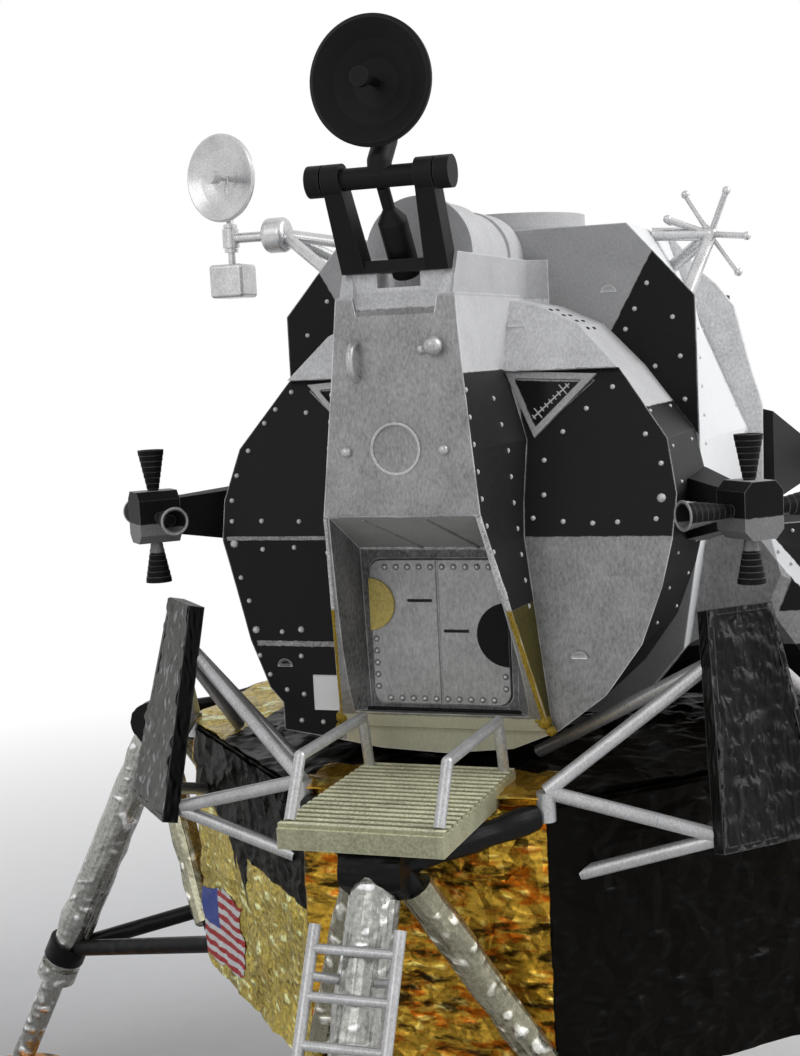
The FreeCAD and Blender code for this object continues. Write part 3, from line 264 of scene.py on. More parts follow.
# %% From coat to material
def paint(name, base, fields=(), grain=(0.25, (1, 1, 3)), bump=0.25, worn=None, wrinkle=0.0, tints=(),
          folds_size=(2.4, 2.4, 1.5), sheen=0.12, glint=0.03, valley_shade=(0.70, 0.32, 0.07, 1)):
    """A material from coats. The grain is a size, or a size and how far it is drawn out."""
    material = bpy.data.materials.new(name)
    material.use_nodes = True
    tree = material.node_tree
    shader = tree.nodes["Principled BSDF"]
    shader.inputs["Specular IOR Level"].default_value = sheen
    where = place(tree)
    faces = add(tree, "TexCoord").outputs["Normal"]
    waver = add(tree, "TexNoise")
    put(tree, where, waver.inputs["Vector"])
    waver.inputs["Scale"].default_value = 1.2
    brushed = vector(tree, "ADD", where, vector(tree, "SCALE", waver.outputs["Color"], 0.25))
    coat = list(base)
    # Tint patches; on the gold foil they are painted reflection and painted shade streaks.
    for second, patch, drawn_out, low, high in tints:
        patches = ramp(tree, noise(tree, where, patch, drawn_out, 4.0), low, high)
        coat[0] = mix(tree, patches, coat[0], second)
    for rules, over in fields:
        share = field(tree, brushed, faces, rules)
        coat = [mix(tree, share, lower, upper) for lower, upper in zip(coat, over)]
    colour, dull, metal, mottle = coat
    size, stretch = grain if isinstance(grain, tuple) else (grain, (1, 1, 1))
    fine = noise(tree, where, size, stretch, 4.0, 0.7)
    broad = noise(tree, where, size * 14)
    spots = calc(tree, "ADD", calc(tree, "MULTIPLY", fine, 0.7), calc(tree, "MULTIPLY", broad, 0.3))
    lift = calc(tree, "MULTIPLY", calc(tree, "SUBTRACT", spots, 0.5), 4.0)
    shade = calc(tree, "ADD", 1.0, calc(tree, "MULTIPLY", lift, mottle))
    result = vector(tree, "SCALE", colour, shade)
    height = calc(tree, "MULTIPLY", fine, 0.03)
    if wrinkle:
        folds = add(tree, "TexNoise", noise_type="RIDGED_MULTIFRACTAL", normalize=True)
        put(tree, vector(tree, "DIVIDE", where, folds_size), folds.inputs["Vector"])
        folds.inputs["Scale"].default_value = 1
        folds.inputs["Detail"].default_value = 4
        crest = folds.outputs[0]
        height = calc(tree, "ADD", height, calc(tree, "MULTIPLY", crest, wrinkle))
        # Painted shade darkens the valleys of the folds; a painted highlight lightens the crests and adds a
        # glint.
        for low, high, tint in ((0.32, 0.15, valley_shade), (0.48, 0.72, crest_highlight_tint)):
            tinted = mix(tree, 1.0, result, tint, "MULTIPLY")
            result = mix(tree, ramp(tree, crest, low, high, 0.0, 0.9), result, tinted)
        result = mix(tree, ramp(tree, crest, 0.50, 0.70), result, grey(glint), "ADD")
    if worn:
        edge_colour, width, amount = worn
        rounded = add(tree, "Bevel", samples=6)
        rounded.inputs["Radius"].default_value = width * mm
        bend = vector(tree, "DOT_PRODUCT", rounded.outputs[0], add(tree, "NewGeometry").outputs["Normal"])
        edge = ramp(tree, bend, 0.97, 0.80, 0.0, amount)
        edge = calc(tree, "MULTIPLY", edge, ramp(tree, broad, 0.35, 0.55, 0.35, 1.0))
        result = mix(tree, edge, result, edge_colour)
    put(tree, result, shader.inputs["Base Color"])
    put(tree, calc(tree, "ADD", dull, calc(tree, "MULTIPLY", lift, 0.05)), shader.inputs["Roughness"])
    put(tree, metal, shader.inputs["Metallic"])
    relief = add(tree, "Bump")
    relief.inputs["Strength"].default_value = bump
    relief.inputs["Distance"].default_value = mm
    put(tree, height, relief.inputs["Height"])
    put(tree, relief.outputs[0], shader.inputs["Normal"])
    return material


def dress(material, *names):
    for name in names:
        part = cad[name]
        part.data.materials.clear()
        part.data.materials.append(material)
    print(material.name, "on", len(names), "parts")


# %% [markdown]
# ## The cabin's paint
# The nose is silver in front. Its cheeks are pale at the top, black below and stained ochre near the
# sill. Beside it the drum's face is pale above the brow, black down to the crease and silver under it on
# the right, and black all the way down on the left. The recess keeps the silver, and the sill is cream.

# %% Cabin
brow, side_brow, cheek_top, crease, stain_line = 113.2, 108.6, 113.4, 94.7, 87.4
brushed_down = (0.26, (1, 1, 2.2))
outside = ("mirror_facing", (1, 0, 0), 0.55)
inside = ("mirror_facing", (-1, 0, 0), 0.35)
front_on = ("facing", (0, -1, 0), 0.45)
not_front = ("facing", (0, 1, 0), -0.45)
looking_down = ("facing", (0, 0, -1), 0.6)
drum = behind(-36.2)
beside_nose = ("mirror", (1, 0, 0.10), 20.1)
left_face = ("at", (-1, 0, 0), 9.0)
right_half = ("at", (1, 0, 0), 0)
cheek = [outside, within(14.5), before(-26.0)]
recess = [above(74.3), within(12.0), before(-34.0)]
rim = [front_on, before(-36.2), below(98.1), above(74.3), ("mirror", (1, 0, 0.148), 23.05)]
cabin_fields = [
    # Painted light: front faces above the brow, and the nose's top below, get the lighter copy of pale.
    ([drum, above(brow)], pale_with_painted_light),
    ([drum, not_front, above(side_brow)], pale),
    ([drum, front_on, beside_nose, below(brow), above(crease)], black),
    ([drum, not_front, beside_nose, below(side_brow)], black),
    ([drum, front_on, beside_nose, left_face, below(crease)], black),
    ([below(74.2), before(-30.0), within(12.4)], cream),
    (cheek + [above(cheek_top)], pale),
    (cheek + [below(cheek_top), above(stain_line)], cheek_black),
    ([outside, within(14.5), before(-34.5), below(stain_line)], ochre),
    ([above(121.6)], ridge_grey),
    ([above(118.0), behind(-44.3), within(6.3)], pale_with_painted_light),
    (recess + [inside, below(98.0)], shadow_grey),
    (recess + [looking_down, below(98.4)], ceiling_grey),
    (recess + [front_on, behind(-35.9), below(93.3), within(9.8)], shadow_grey),
    (rim + [above(stain_line), right_half], thread_white),
    (rim + [below(stain_line)], stain),
]
cabin_paint = paint("cabin_paint", silver, cabin_fields, brushed_down, 0.5, (grey(0.85), 0.30, 0.95))
dress(cabin_paint, "cabin_shell")

# %% Midsection and tanks
midsection_fields = [
    ([behind(-11.0)], pale),
    # The lighter copy of pale, painted light, on the back.
    ([behind(12.9)], pale_with_painted_light),
    ([before(-13.9), ("mirror", (0.869, 0, -0.495), -43.8), ("mirror", (0.769, 0, 0.639), 87.3)], black),
    ([behind(-13.8), before(12.8), beyond(16.0)], white),
]
midsection_paint = paint("midsection_paint", mid_grey, midsection_fields, (0.26, (1, 1, 1.5)), 0.4,
                         (grey(0.85), 0.32, 0.95))
dress(midsection_paint, "midsection", "aft_bay")
slope, back_slope = (0.806, 0, 0.591), (-0.806, 0, -0.591)
tank_fields = [
    ([behind(-9.0), above(82.0)], black),
    ([below(77.6)], black),
    ([("mirror", slope, 81.9)], black),
    # Painted highlight: the white band along the slope stands for a bevel facet catching the light.
    ([("mirror", slope, 80.6), ("mirror", back_slope, -82.0), before(4.0)], white),
]
tank_paint = paint("tank_paint", silver, tank_fields, brushed_down, 0.4, (grey(0.85), 0.34, 0.9))
dress(tank_paint, "tank_fairing_right", "tank_fairing_left")

# %% Smaller parts
corners = ("front_right", "front_left", "aft_right", "aft_left")
pale_paint = paint("pale_paint", pale, (), 0.26, 0.3, (grey(0.9), 0.2, 0.6))
dress(pale_paint, "tunnel_fairing", "docking_ring")
silver_paint = paint("silver_paint", bright_metal, (), (0.2, (1, 1, 2)))
dress(silver_paint, "porch_rails", "ladder", "nose_fittings",
      *["deflector_struts_" + corner for corner in corners])
metal_paint = paint("metal_paint", dish_metal, (), 0.2, 0.25, (grey(0.75), 0.15, 0.5))
dress(metal_paint, "dish_boom", "dish_elbow", "dish_head", "whip_antenna")
hatch_paint = paint("hatch_paint", satin_silver, (), brushed_down, 0.5, (grey(0.6), 0.12, 0.5))
dress(hatch_paint, "hatch")
black_paint = paint("black_paint", black, (), 0.2, 0.25, (grey(0.10), 0.15, 0.5))
dress(black_paint, "radar_yoke", "radar_dish", "ascent_engine_bell", "descent_engine_bell")
porch_paint = paint("porch_paint", khaki, [([("facing", (0, 0, 1), 0.7)], lit_khaki)], 0.3, 0.5,
                    ((0.62, 0.61, 0.42, 1), 0.25, 0.7))
dress(porch_paint, "porch")
rack_paint = paint("rack_paint", dull_black, (), 0.3, 0.3, (grey(0.2), 0.2, 0.7))
dress(rack_paint, "aft_rack")
tank_gold = paint("tank_gold", gold, (), 0.5, 0.4, wrinkle=0.15)
dress(tank_gold, "aft_tank_right", "aft_tank_left")

# %% Thrusters and deflectors
housing_fields = [([below(96.9), above(93.2), within(39.6)], shadow_silver),
                  ([("facing", (0, 0, 1), 0.8), below(102.5), above(99.0)], mid_grey)]
housing_paint = paint("housing_paint", black, housing_fields, 0.2, 0.3, (grey(0.30), 0.16, 0.8), sheen=0.06)
dress(housing_paint, *["thruster_group_" + corner for corner in corners])
arm_fields = [([("facing", (0, 0, -1), 0.25)], silver)]
arm_paint = paint("arm_paint", dull_black, arm_fields, 0.2, 0.25, (grey(0.15), 0.15, 0.6))
dress(arm_paint, *["thruster_arm_" + corner for corner in corners])
# Painted light: the front-left deflector's outer face is lighter, and the front-right one's left half
# carries painted highlights.
shield_fields = [
    ([("at", (-1, 0, 0), 20), before(-20), ("facing", (-0.707, -0.707, 0), 0.4)], painted_light_wrap),
    ([("at", (1, 0, 0), 20), before(-20), ("at", (-0.707, -0.707, 0), -0.6)], painted_highlight_wrap),
]
deflector_paint = paint("deflector_paint", black_wrap, shield_fields, (0.3, (1, 1, 5)), 0.8,
                        (grey(0.14), 0.35, 0.8), 0.6, (), (0.9, 0.9, 2.4), 0.12, 0.05, silver_valley_shade)
dress(deflector_paint, *["deflector_" + corner for corner in corners])

# %% Foil on the descent stage
legs = ("front", "right", "aft", "left")
# Painted reflection and painted shade on the crumpled gold: orange-red and near-black streaks.
reflection_and_shade_streaks = [((0.80, 0.26, 0.03, 1), 1.5, (2.4, 2.4, 0.9), 0.50, 0.62),
           ((0.075, 0.055, 0.02, 1), 1.9, (2.4, 2.4, 0.8), 0.50, 0.62)]
gold_foil = paint("gold_foil", gold, (), 0.6, 0.8, wrinkle=0.5, tints=reflection_and_shade_streaks)
deck_fields = [([before(-34.5), within(15)], gold), ([("at", (-1, 0, 0), 33.5)], olive_gold)]
deck_foil = paint("deck_foil", black_wrap, deck_fields, 0.6, 0.9, wrinkle=0.5, folds_size=(3, 3, 3),
                  sheen=0.1, glint=0.02, valley_shade=(0.6, 0.42, 0.16, 1))
black_foil = paint("black_foil", black_wrap, (), 0.6, 0.9, wrinkle=0.4, folds_size=(3, 3, 3),
                   sheen=0.15, glint=0.02, valley_shade=silver_valley_shade)
silver_foil = paint("silver_foil", silver_wrap, (), 0.5, 0.9, wrinkle=0.5, sheen=0.4, valley_shade=silver_valley_shade)
dress(gold_foil, *["footpad_" + leg for leg in legs])
dress(deck_foil, "descent_deck")
dress(black_foil, *["outrigger_" + leg for leg in legs], *["secondary_struts_" + leg for leg in legs])
dress(silver_foil, *["primary_strut_" + leg for leg in legs])

# %% Foil on the lower body
left_corner = [("at", (-1, 0, 0), 14.6), before(-14.6)]
along, against = (0.707, -0.707, 0), (-0.707, 0.707, 0)
side_fields = [
    (left_corner, olive_gold),
    ([("at", (1, 0, 0), 14.4), before(-14.6)], black_wrap),
    ([beyond(14.6), behind(14.6)], black_wrap),
    (left_corner + [("at", along, -1.0), above(52.9)], black_wrap),
    (left_corner + [("at", along, -5.7), ("at", against, 1.0), ("at", (1.06, -1.06, 1), 44.9)], black_wrap),
    (left_corner + [("at", against, 5.7), ("at", (0.14, -0.14, 1), 53.9)], black_wrap),
    (left_corner + [("at", along, -9.5), ("at", against, 5.0), ("at", (0.9, -0.9, 1), 44.0)], black_wrap),
]
side_foil = paint("side_foil", gold, side_fields, 0.6, 0.8, None, 0.5, reflection_and_shade_streaks, (2.6, 2.6, 1.2), 0.05, 0.05,
                  (0.50, 0.36, 0.12, 1))
dress(side_foil, "descent_box")

# %% [markdown]
# ## Modelling by hand, in code
# The next helpers stand for a modeller's habits: deselect, add a primitive, pick faces by their place or
# the way they face, shape them, and put the object's place into its mesh.

# %% Selecting and starting
def clear():
    bpy.ops.object.select_all(action="DESELECT")


def hold(*pieces):
    """Selects these pieces alone, with the first one active."""
    clear()
    for piece in pieces:
        piece.select_set(True)
    bpy.context.view_layer.objects.active = pieces[0]


def enter(mode):
    bpy.ops.object.mode_set(mode=mode)


def root(piece):
    """Puts an object's place into its mesh."""
    piece.data.transform(piece.matrix_world)
    piece.matrix_world = Matrix.Identity(4)
    return piece


def begin(primitive, **settings):
    """Adds a primitive with nothing else selected, and its place in its mesh."""
    clear()
    primitive(**settings)
    return root(bpy.context.object)


def join(pieces):
    hold(*pieces)
    bpy.ops.object.join()
    return pieces[0]


# %% Shaping
def pick(piece, kind, test):
    """Selects what passes the test, and stays in edit mode."""
    enter("EDIT")
    bpy.ops.mesh.select_all(action="DESELECT")
    bpy.ops.mesh.select_mode(type={"vertices": "VERT", "edges": "EDGE", "polygons": "FACE"}[kind])
    enter("OBJECT")
    for item in getattr(piece.data, kind):
        item.select = test(item)
    enter("EDIT")


def on_all(piece, operator, **settings):
    """Runs an operator on a whole piece in edit mode."""
    hold(piece)
    enter("EDIT")
    bpy.ops.mesh.select_all(action="SELECT")
    operator(**settings)
    enter("OBJECT")


def cut(piece, *planes, **settings):
    """Bisects a whole piece by planes, each one a point in millimetres and a normal."""
    hold(piece)
    enter("EDIT")
    for point, normal in planes:
        bpy.ops.mesh.select_all(action="SELECT")
        bpy.ops.mesh.bisect(plane_co=Vector(point) * mm, plane_no=normal, **settings)
    enter("OBJECT")


def lay(piece, middle, *axes):
    """Lays a piece of size 1 out along three axes around a point, all in millimetres."""
    turn = Matrix([axis * mm for axis in axes]).transposed().to_4x4()
    piece.data.transform(Matrix.Translation(middle * mm) @ turn)


def press(piece, test, *steps):
    """Insets the faces that pass the test and moves them, by millimetres, as each step says."""
    pick(piece, "polygons", test)
    for inset, move in steps:
        bpy.ops.mesh.inset(thickness=inset * mm)
        bpy.ops.transform.translate(value=Vector(move) * mm)
    enter("OBJECT")


def is_front(face):
    return face.normal.y < -0.9


# %% Finishing
def use(kind, piece, **settings):
    """Adds a modifier, sets it and applies it."""
    hold(piece)
    bpy.ops.object.modifier_add(type=kind)
    modifier = piece.modifiers[-1]
    for name, value in settings.items():
        setattr(modifier, name, value)
    bpy.ops.object.modifier_apply(modifier=modifier.name)


def soften(piece, width, segments=2):
    use("BEVEL", piece, width=width * mm, segments=segments, limit_method="ANGLE")
    return piece


def smooth(piece, angle):
    hold(piece)
    bpy.ops.object.shade_smooth_by_angle(angle=angle)
    return piece


def settle(piece, name, material, body="ascent_stage"):
    """Names a finished piece, paints it and fixes it to its body."""
    root(piece)
    piece.name = name
    piece.data.name = name
    piece.data.materials.clear()
    piece.data.materials.append(material)
    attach(piece, body)
    print(name, len(piece.data.polygons), "faces")
    return piece


# %% Copies
seeds = []
turns = [Matrix.Rotation(math.radians(angle), 4, "Z") for angle in (0, 90, 180, 270)]
flips = [Matrix.Identity(4), Matrix.Diagonal((-1, 1, 1, 1))]
both_hands = [turn @ flip for turn in turns for flip in flips]


def strew(seed, places):
    """Copies a finished shape to many places, each copy with its own mesh, and joins them to one piece."""
    if seed not in seeds:
        seeds.append(seed)
    copies = []
    for spot in places:
        copy = seed.copy()
        copy.data = seed.data.copy()
        copy.data.transform(spot)
        bpy.context.collection.objects.link(copy)
        copies.append(copy)
    return join(copies)


def landings(node, spots, way, sink=0.02, shape=(1, 1, 1)):
    """Where a mark at each spot lands on a part, seen along way, as matrices with +Z off the surface."""
    found = []
    for spot in spots:
        start = Vector(spot[:3]) * mm - Vector(way) * 0.05
        hit, point, normal, _ = cad[node].ray_cast(start, Vector(way))
        if not hit:
            print("nothing under", spot, "on", node)
            continue
        size = spot[3] if len(spot) > 3 else 1.0
        turn = normal.to_track_quat("Z", "Y").to_matrix().to_4x4()
        found.append(Matrix.Translation(point - normal * sink * mm) @ turn @ Matrix.Scale(size, 4)
                     @ Matrix.Diagonal((*shape, 1)))
    return found


# %% [markdown]
# ## Rivets
# Hundreds of them, so a rivet has few faces: the upper half of a small ball. Bisect cuts the ball and
# keeps the top. The camera sees them as the white and silver dots along the panels' edges.

# %% A rivet
rivet = begin(bpy.ops.mesh.primitive_uv_sphere_add, segments=8, ring_count=6, radius=0.31 * mm)
cut(rivet, ((0, 0, 0), (0, 0, 1)), clear_inner=True, use_fill=True)
smooth(rivet, 0.9)
dot_paint = paint("dot_paint", (grey(0.62), 0.5, 0.2, 0.2), (), 0.2, 0.1)


def add_rivets(name, marks, coat=dot_paint):
    settle(strew(rivet, marks), name, coat)


print("rivet faces:", len(rivet.data.polygons))

# %% Rivets on the cabin's face
right_dots = [(19.7, 110.8), (16.8, 108.5), (14.2, 106.0), (23.7, 105.5), (12.2, 102.9), (25.6, 102.3),
              (12.4, 99.1), (25.8, 98.6, 1.7), (11.3, 96.6), (14.8, 96.2), (18.2, 96.0), (21.0, 96.1),
              (25.3, 96.4)]
left_dots = [(-20.0, 111.6), (-21.9, 109.6), (-17.8, 109.1), (-23.2, 108.0), (-25.0, 104.8), (-26.2, 101.9),
             (-26.5, 99.0), (-26.2, 96.6), (-22.3, 96.6), (-17.4, 96.5), (-25.7, 94.0, 1.6), (-22.0, 93.3),
             (-17.9, 93.5), (-25.1, 89.9), (-24.2, 87.1), (-23.5, 83.6, 1.5), (-20.1, 83.4),
             (-17.6, 83.7, 1.3), (-23.2, 80.5), (-17.8, 80.5), (-22.0, 78.2), (-19.9, 76.4), (-17.7, 75.9),
             (-18.2, 72.7), (-15.4, 72.6)]
spots = [(x, -60, z, *size) for x, z, *size in right_dots + left_dots]
add_rivets("cabin_face_rivets", landings("cabin_shell", spots, (0, 1, 0)))

# %% Rivets down the nose's cheeks
top_row, pitch_down, lines_down, half_pitch = 111.5, 2.9, 9, 1.3
front_edge, back_edge, recess_top, slant = -45.2, -36.6, 98, 0.264
dash = (0.55, 1.25, 1)
marks = []
for side in (1, -1):
    spots = []
    for row in range(lines_down):
        z = top_row - pitch_down * row
        spots.append((side * 30, front_edge + slant * max(0, recess_top - z), z, 0.8))
        spots.append((side * 30, back_edge, z - half_pitch, 0.8))
    marks += landings("cabin_shell", spots, (-side, 0, 0), 0.02, dash)
add_rivets("cheek_rivets", marks)

# %% Rivets on the midsection's front plate
plate_dots = [(20.9, 122.7), (19.3, 119.7), (18.1, 117.3), (23.9, 118.5), (24.7, 113.8), (21.6, 112.7),
              (25.1, 108.6)]
spots = [(side * x, -60, z) for x, z in plate_dots for side in (1, -1)]
add_rivets("plate_rivets", landings("midsection", spots, (0, 1, 0)))

# %% [markdown]
# ## Crumpled foil round the descent stage
# A wall of many small faces is pushed in and out by a cloudy texture, and then thinned out, so that what
# stays are flat facets of many sizes with sharp folds between them. That is how real foil breaks the
# light, and a bump alone doesn't show it on the outline.

# %% Foil textures
def crumple(name, kind, size, pattern="SOFT_NOISE"):
    made = bpy.data.textures.new(name, type=kind)
    made.noise_scale = size * mm
    if kind == "CLOUDS":
        made.noise_type = pattern
    return made


big_folds = crumple("big_folds", "CLOUDS", 5.0, "HARD_NOISE")
small_folds = crumple("small_folds", "VORONOI", 2.2)
grit = crumple("grit", "CLOUDS", 0.35)


def shift(piece, texture, strength, rest):
    """Moves a piece's surface by a texture, in millimetres; rest is the level that stays in place."""
    use("DISPLACE", piece, texture=texture, texture_coords="GLOBAL", strength=strength * mm, mid_level=rest)


def crush(piece, big, small, keep):
    """Displaces a piece by two textures and thins its mesh to facets."""
    shift(piece, big_folds, big, 0.25)
    shift(piece, small_folds, small, 0.2)
    use("DECIMATE", piece, ratio=keep)


def roughen(piece, strength, keep=1.0):
    """Pushes a piece about by the finest texture, as dried paint does."""
    shift(piece, grit, strength, 0.5)
    if keep < 1:
        use("DECIMATE", piece, ratio=keep)
    return piece


# %% The wrapped wall
wall_width, wall_height, wall_middle, corner_cut, foil_thickness = 88.3, 33.0, 49.5, 29.7, 0.15
wall = begin(bpy.ops.mesh.primitive_cube_add, size=1, location=(0, 0, wall_middle * mm),
             scale=(wall_width * mm, wall_width * mm, wall_height * mm))
corner = wall.data.vertices
pick(wall, "edges", lambda edge: (corner[edge.vertices[0]].co - corner[edge.vertices[1]].co).xy.length < mm)
bpy.ops.mesh.bevel(offset=corner_cut * mm, offset_type="OFFSET", segments=1, affect="EDGES")
pick(wall, "polygons", lambda face: abs(face.normal.z) > 0.9)
bpy.ops.mesh.delete(type="FACE")
enter("OBJECT")
on_all(wall, bpy.ops.mesh.subdivide, number_cuts=38)
crush(wall, 1.0, 0.45, 0.42)
use("SOLIDIFY", wall, thickness=foil_thickness * mm, offset=-1)
settle(wall, "wrapped_wall", side_foil, "descent_stage")

# %% The wrapped deck
deck_width, deck_height, corner_line, engine_hole = 89.6, 67.3, 29.6, 15
top = begin(bpy.ops.mesh.primitive_grid_add, x_subdivisions=84, y_subdivisions=84, size=deck_width * mm,
            location=(0, 0, deck_height * mm))
corner_cuts = [((x * corner_line, y * corner_line, 0), (x, y, 0)) for x in (-1, 1) for y in (-1, 1)]
cut(top, *corner_cuts, clear_outer=True)
pick(top, "polygons", lambda face: face.center.xy.length < engine_hole * mm)
bpy.ops.mesh.delete(type="FACE")
enter("OBJECT")
crush(top, 0.9, 0.4, 0.42)
use("SOLIDIFY", top, thickness=foil_thickness * mm, offset=-1)
settle(top, "wrapped_deck", deck_foil, "descent_stage")

# %% [markdown]
# ## Foil sleeves on the legs
# The two lower tubes under each leg's head and the upper half of the strut wear silver foil, thicker than
# the tube. A sleeve is a tube of many faces, crushed like the wall. It is made once and turned to the
# four legs. A mirrored copy is inside out, so the normals are made consistent again.

# %% Sleeves
def tube(start, end, radius, sides=14, cuts=5):
    start, end = Vector(start) * mm, Vector(end) * mm
    made = begin(bpy.ops.mesh.primitive_cylinder_add, vertices=sides, radius=radius * mm,
                 depth=(end - start).length)
    turn = (end - start).to_track_quat("Z", "Y").to_matrix().to_4x4()
    made.data.transform(Matrix.Translation((start + end) / 2) @ turn)
    if cuts:
        on_all(made, bpy.ops.mesh.subdivide, number_cuts=cuts)
    return made


warm_foil = paint("warm_foil", warm_wrap, (), 0.5, 0.9, wrinkle=0.5, sheen=0.4,
                  valley_shade=(0.24, 0.23, 0.17, 1))
sleeve = tube((3.2, -55.6, 60.6), (13.0, -44.8, 37.8), 1.8, 14, 8)
crush(sleeve, 0.55, 0.35, 0.5)
strut_sleeve = tube((0, -59.2, 60.2), (0, -75.4, 29.0), 2.6, 20, 12)
crush(strut_sleeve, 0.55, 0.35, 0.45)
for seed, places, name, coat in ((sleeve, both_hands, "foil_sleeves", warm_foil),
                                 (strut_sleeve, turns, "strut_sleeves", silver_foil)):
    made = strew(seed, places)
    on_all(made, bpy.ops.mesh.normals_make_consistent, inside=False)
    settle(made, name, coat, "descent_stage")

# %% [markdown]
# ## The hatch
# The door is one plate with round corners. A groove runs down its middle, rivets follow its edge, and two
# short black bars lie across it as painted shade of two slots. A yellowish half disc sits at the left edge
# and a black one at the right.
# The plate starts as a cube: its four corner edges are bevelled, two cuts mark the groove, and the strip
# between them is moved in.

# %% Hatch plate
def block(low, high):
    """A cube between two corners in millimetres."""
    low, high = Vector(low) * mm, Vector(high) * mm
    return begin(bpy.ops.mesh.primitive_cube_add, size=1, location=(low + high) / 2, scale=high - low)


plate_front, round_corner, half_groove, groove_depth = -35.75, 1.5, 0.13, 0.22
plate = block((-8.27, plate_front, 75.3), (8.27, -34.8, 92.1))
corner = plate.data.vertices
pick(plate, "edges",
     lambda edge: abs((corner[edge.vertices[0]].co - corner[edge.vertices[1]].co).y) > 0.5 * mm)
bpy.ops.mesh.bevel(offset=round_corner * mm, segments=6, affect="EDGES")
enter("OBJECT")
cut(plate, *[((way * half_groove, 0, 0), (way, 0, 0)) for way in (-1, 1)])
pick(plate, "polygons", lambda face: is_front(face) and abs(face.center.x) < 0.1 * mm)
bpy.ops.mesh.extrude_region_move(TRANSFORM_OT_translate={"value": (0, groove_depth * mm, 0)})
enter("OBJECT")
settle(soften(plate, 0.1), "hatch_plate", hatch_paint)
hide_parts("hatch")

# %% Half discs on the hatch
def half_disc(x, z, radius, side, thick, y=plate_front):
    """Half of a flat disc, on the side of x that the sign of side gives."""
    made = begin(bpy.ops.mesh.primitive_cylinder_add, vertices=40, radius=radius * mm, depth=thick * mm,
                 location=(x * mm, (y - thick / 2 + 0.02) * mm, z * mm), rotation=(math.pi / 2, 0, 0))
    cut(made, ((x, 0, 0), (side, 0, 0)), clear_inner=True, use_fill=True)
    return soften(made, 0.08)


ochre_paint = paint("ochre_paint", ((0.50, 0.40, 0.13, 1), 0.5, 0.0, 0.45), (), 0.3, 0.3)
# Flat black, for the hatch's black half disc and for the painted shadow strip under the hatch.
black_and_shadow_paint = paint("black_and_shadow_paint", (grey(0.008), 0.7, 0.0, 0.2), (), 0.3, 0.1)
hinge_cover = half_disc(-8.3, 87.0, 3.05, 1, 0.4)
settle(hinge_cover, "hatch_half_disc_left", ochre_paint)
port = half_disc(8.25, 83.5, 3.7, -1, 0.12)
settle(port, "hatch_half_disc_right", black_and_shadow_paint)

# %% Painted slot shadows on the hatch
slot_shadows = []
# Two black bars stand for slots: their black is painted shade.
for x, z in ((-3.7, 87.4), (0.6, 83.9)):
    slot_shadows.append(soften(block((x, -35.9, z - 0.17), (x + 3.0, -35.6, z + 0.17)), 0.08))
settle(join(slot_shadows), "hatch_slot_shadows", rack_paint)

# %% Rivets on the hatch
rivet_pitch = 1.4
spots = [(-6.3 + rivet_pitch * step, 91.3) for step in range(11)]
spots += [(-6.3 + rivet_pitch * step, 75.95) for step in range(10)]
spots += [(-7.75, 82.9 - rivet_pitch * step) for step in range(5)] + [(7.75, 78.7), (7.75, 77.3)]
marks = [Matrix.Translation(Vector((x, -35.73, z)) * mm) @ Matrix.Rotation(math.pi / 2, 4, "X")
         for x, z in spots]
add_rivets("hatch_rivets", marks, silver_paint)
washer = begin(bpy.ops.mesh.primitive_cylinder_add, vertices=14, radius=0.38 * mm, depth=0.06 * mm)
washers = strew(soften(washer, 0.015, 1), marks)
ring_paint = paint("ring_paint", (grey(0.11), 0.6, 0.2, 0.6), (), 0.2, 0.2)
settle(washers, "hatch_rivet_rings", ring_paint)

# %% [markdown]
# ## Windows
# Each window is a three-cornered frame on the leaning face, with a black pane set a little deeper. A cube
# is laid on that plane and bisected along the three sides. Then its front face is inset by the frame's
# width and extruded inwards, which gives the step. The pane's paint ends at the same three lines, moved
# in as far.

# %% Windows
face_lean, foot_of_face, frame_width, pane_depth = 0.3696, 94.6, 0.85, 0.22
outward = Vector((0, -1, face_lean)).normalized()
window_corners = ((6.9, 112.95), (17.9, 112.3), (10.93, 105.3))


def leaning(x, z, out):
    return Vector((x, -35.0 + face_lean * (z - foot_of_face), z)) + outward * out


for side, hand in ((1, "right"), (-1, "left")):
    spots = [leaning(side * x, z, 0.35) for x, z in window_corners]
    centre = sum(spots, Vector()) / 3
    made = begin(bpy.ops.mesh.primitive_cube_add, size=1, location=(centre - outward * 0.3) * mm,
                 rotation=(-0.354, 0, 0), scale=Vector((20, 0.6, 18)) * mm)
    planes, rules = [], []
    for first, second in zip(spots, spots[1:] + spots[:1]):
        off = (second - first).cross(outward).normalized()
        off = -off if off.dot(centre - first) > 0 else off
        planes.append((first, off))
        rules.append(("at", tuple(-off), -off.dot(first) + frame_width))
    cut(made, *planes, clear_outer=True, use_fill=True)
    pick(made, "polygons", lambda face: face.normal.dot(outward) > 0.9)
    bpy.ops.mesh.inset(thickness=frame_width * mm)
    bpy.ops.mesh.extrude_region_move(TRANSFORM_OT_translate={"value": -outward * pane_depth * mm})
    enter("OBJECT")
    soften(made, 0.06)
    frame_paint = paint("window_paint_" + hand, satin_silver, [(rules, pane_black)], 0.3, 0.1, sheen=0.08)
    settle(made, "window_frame_" + hand, frame_paint)
    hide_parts("window_" + hand)

# %% [markdown]
# ## The scale on the window pane
# The right pane carries a thin graduated line with a longer stroke near each end. Each stroke is a tiny
# bar, laid on the leaning pane, and all are joined to one piece.

# %% Window scale
def stroke(start, end, thick=0.11):
    """A thin bar between two (x, z) places on the pane."""
    return soften(tube(leaning(*start, 0.17), leaning(*end, 0.17), thick, 6, 0), 0.03, 1)


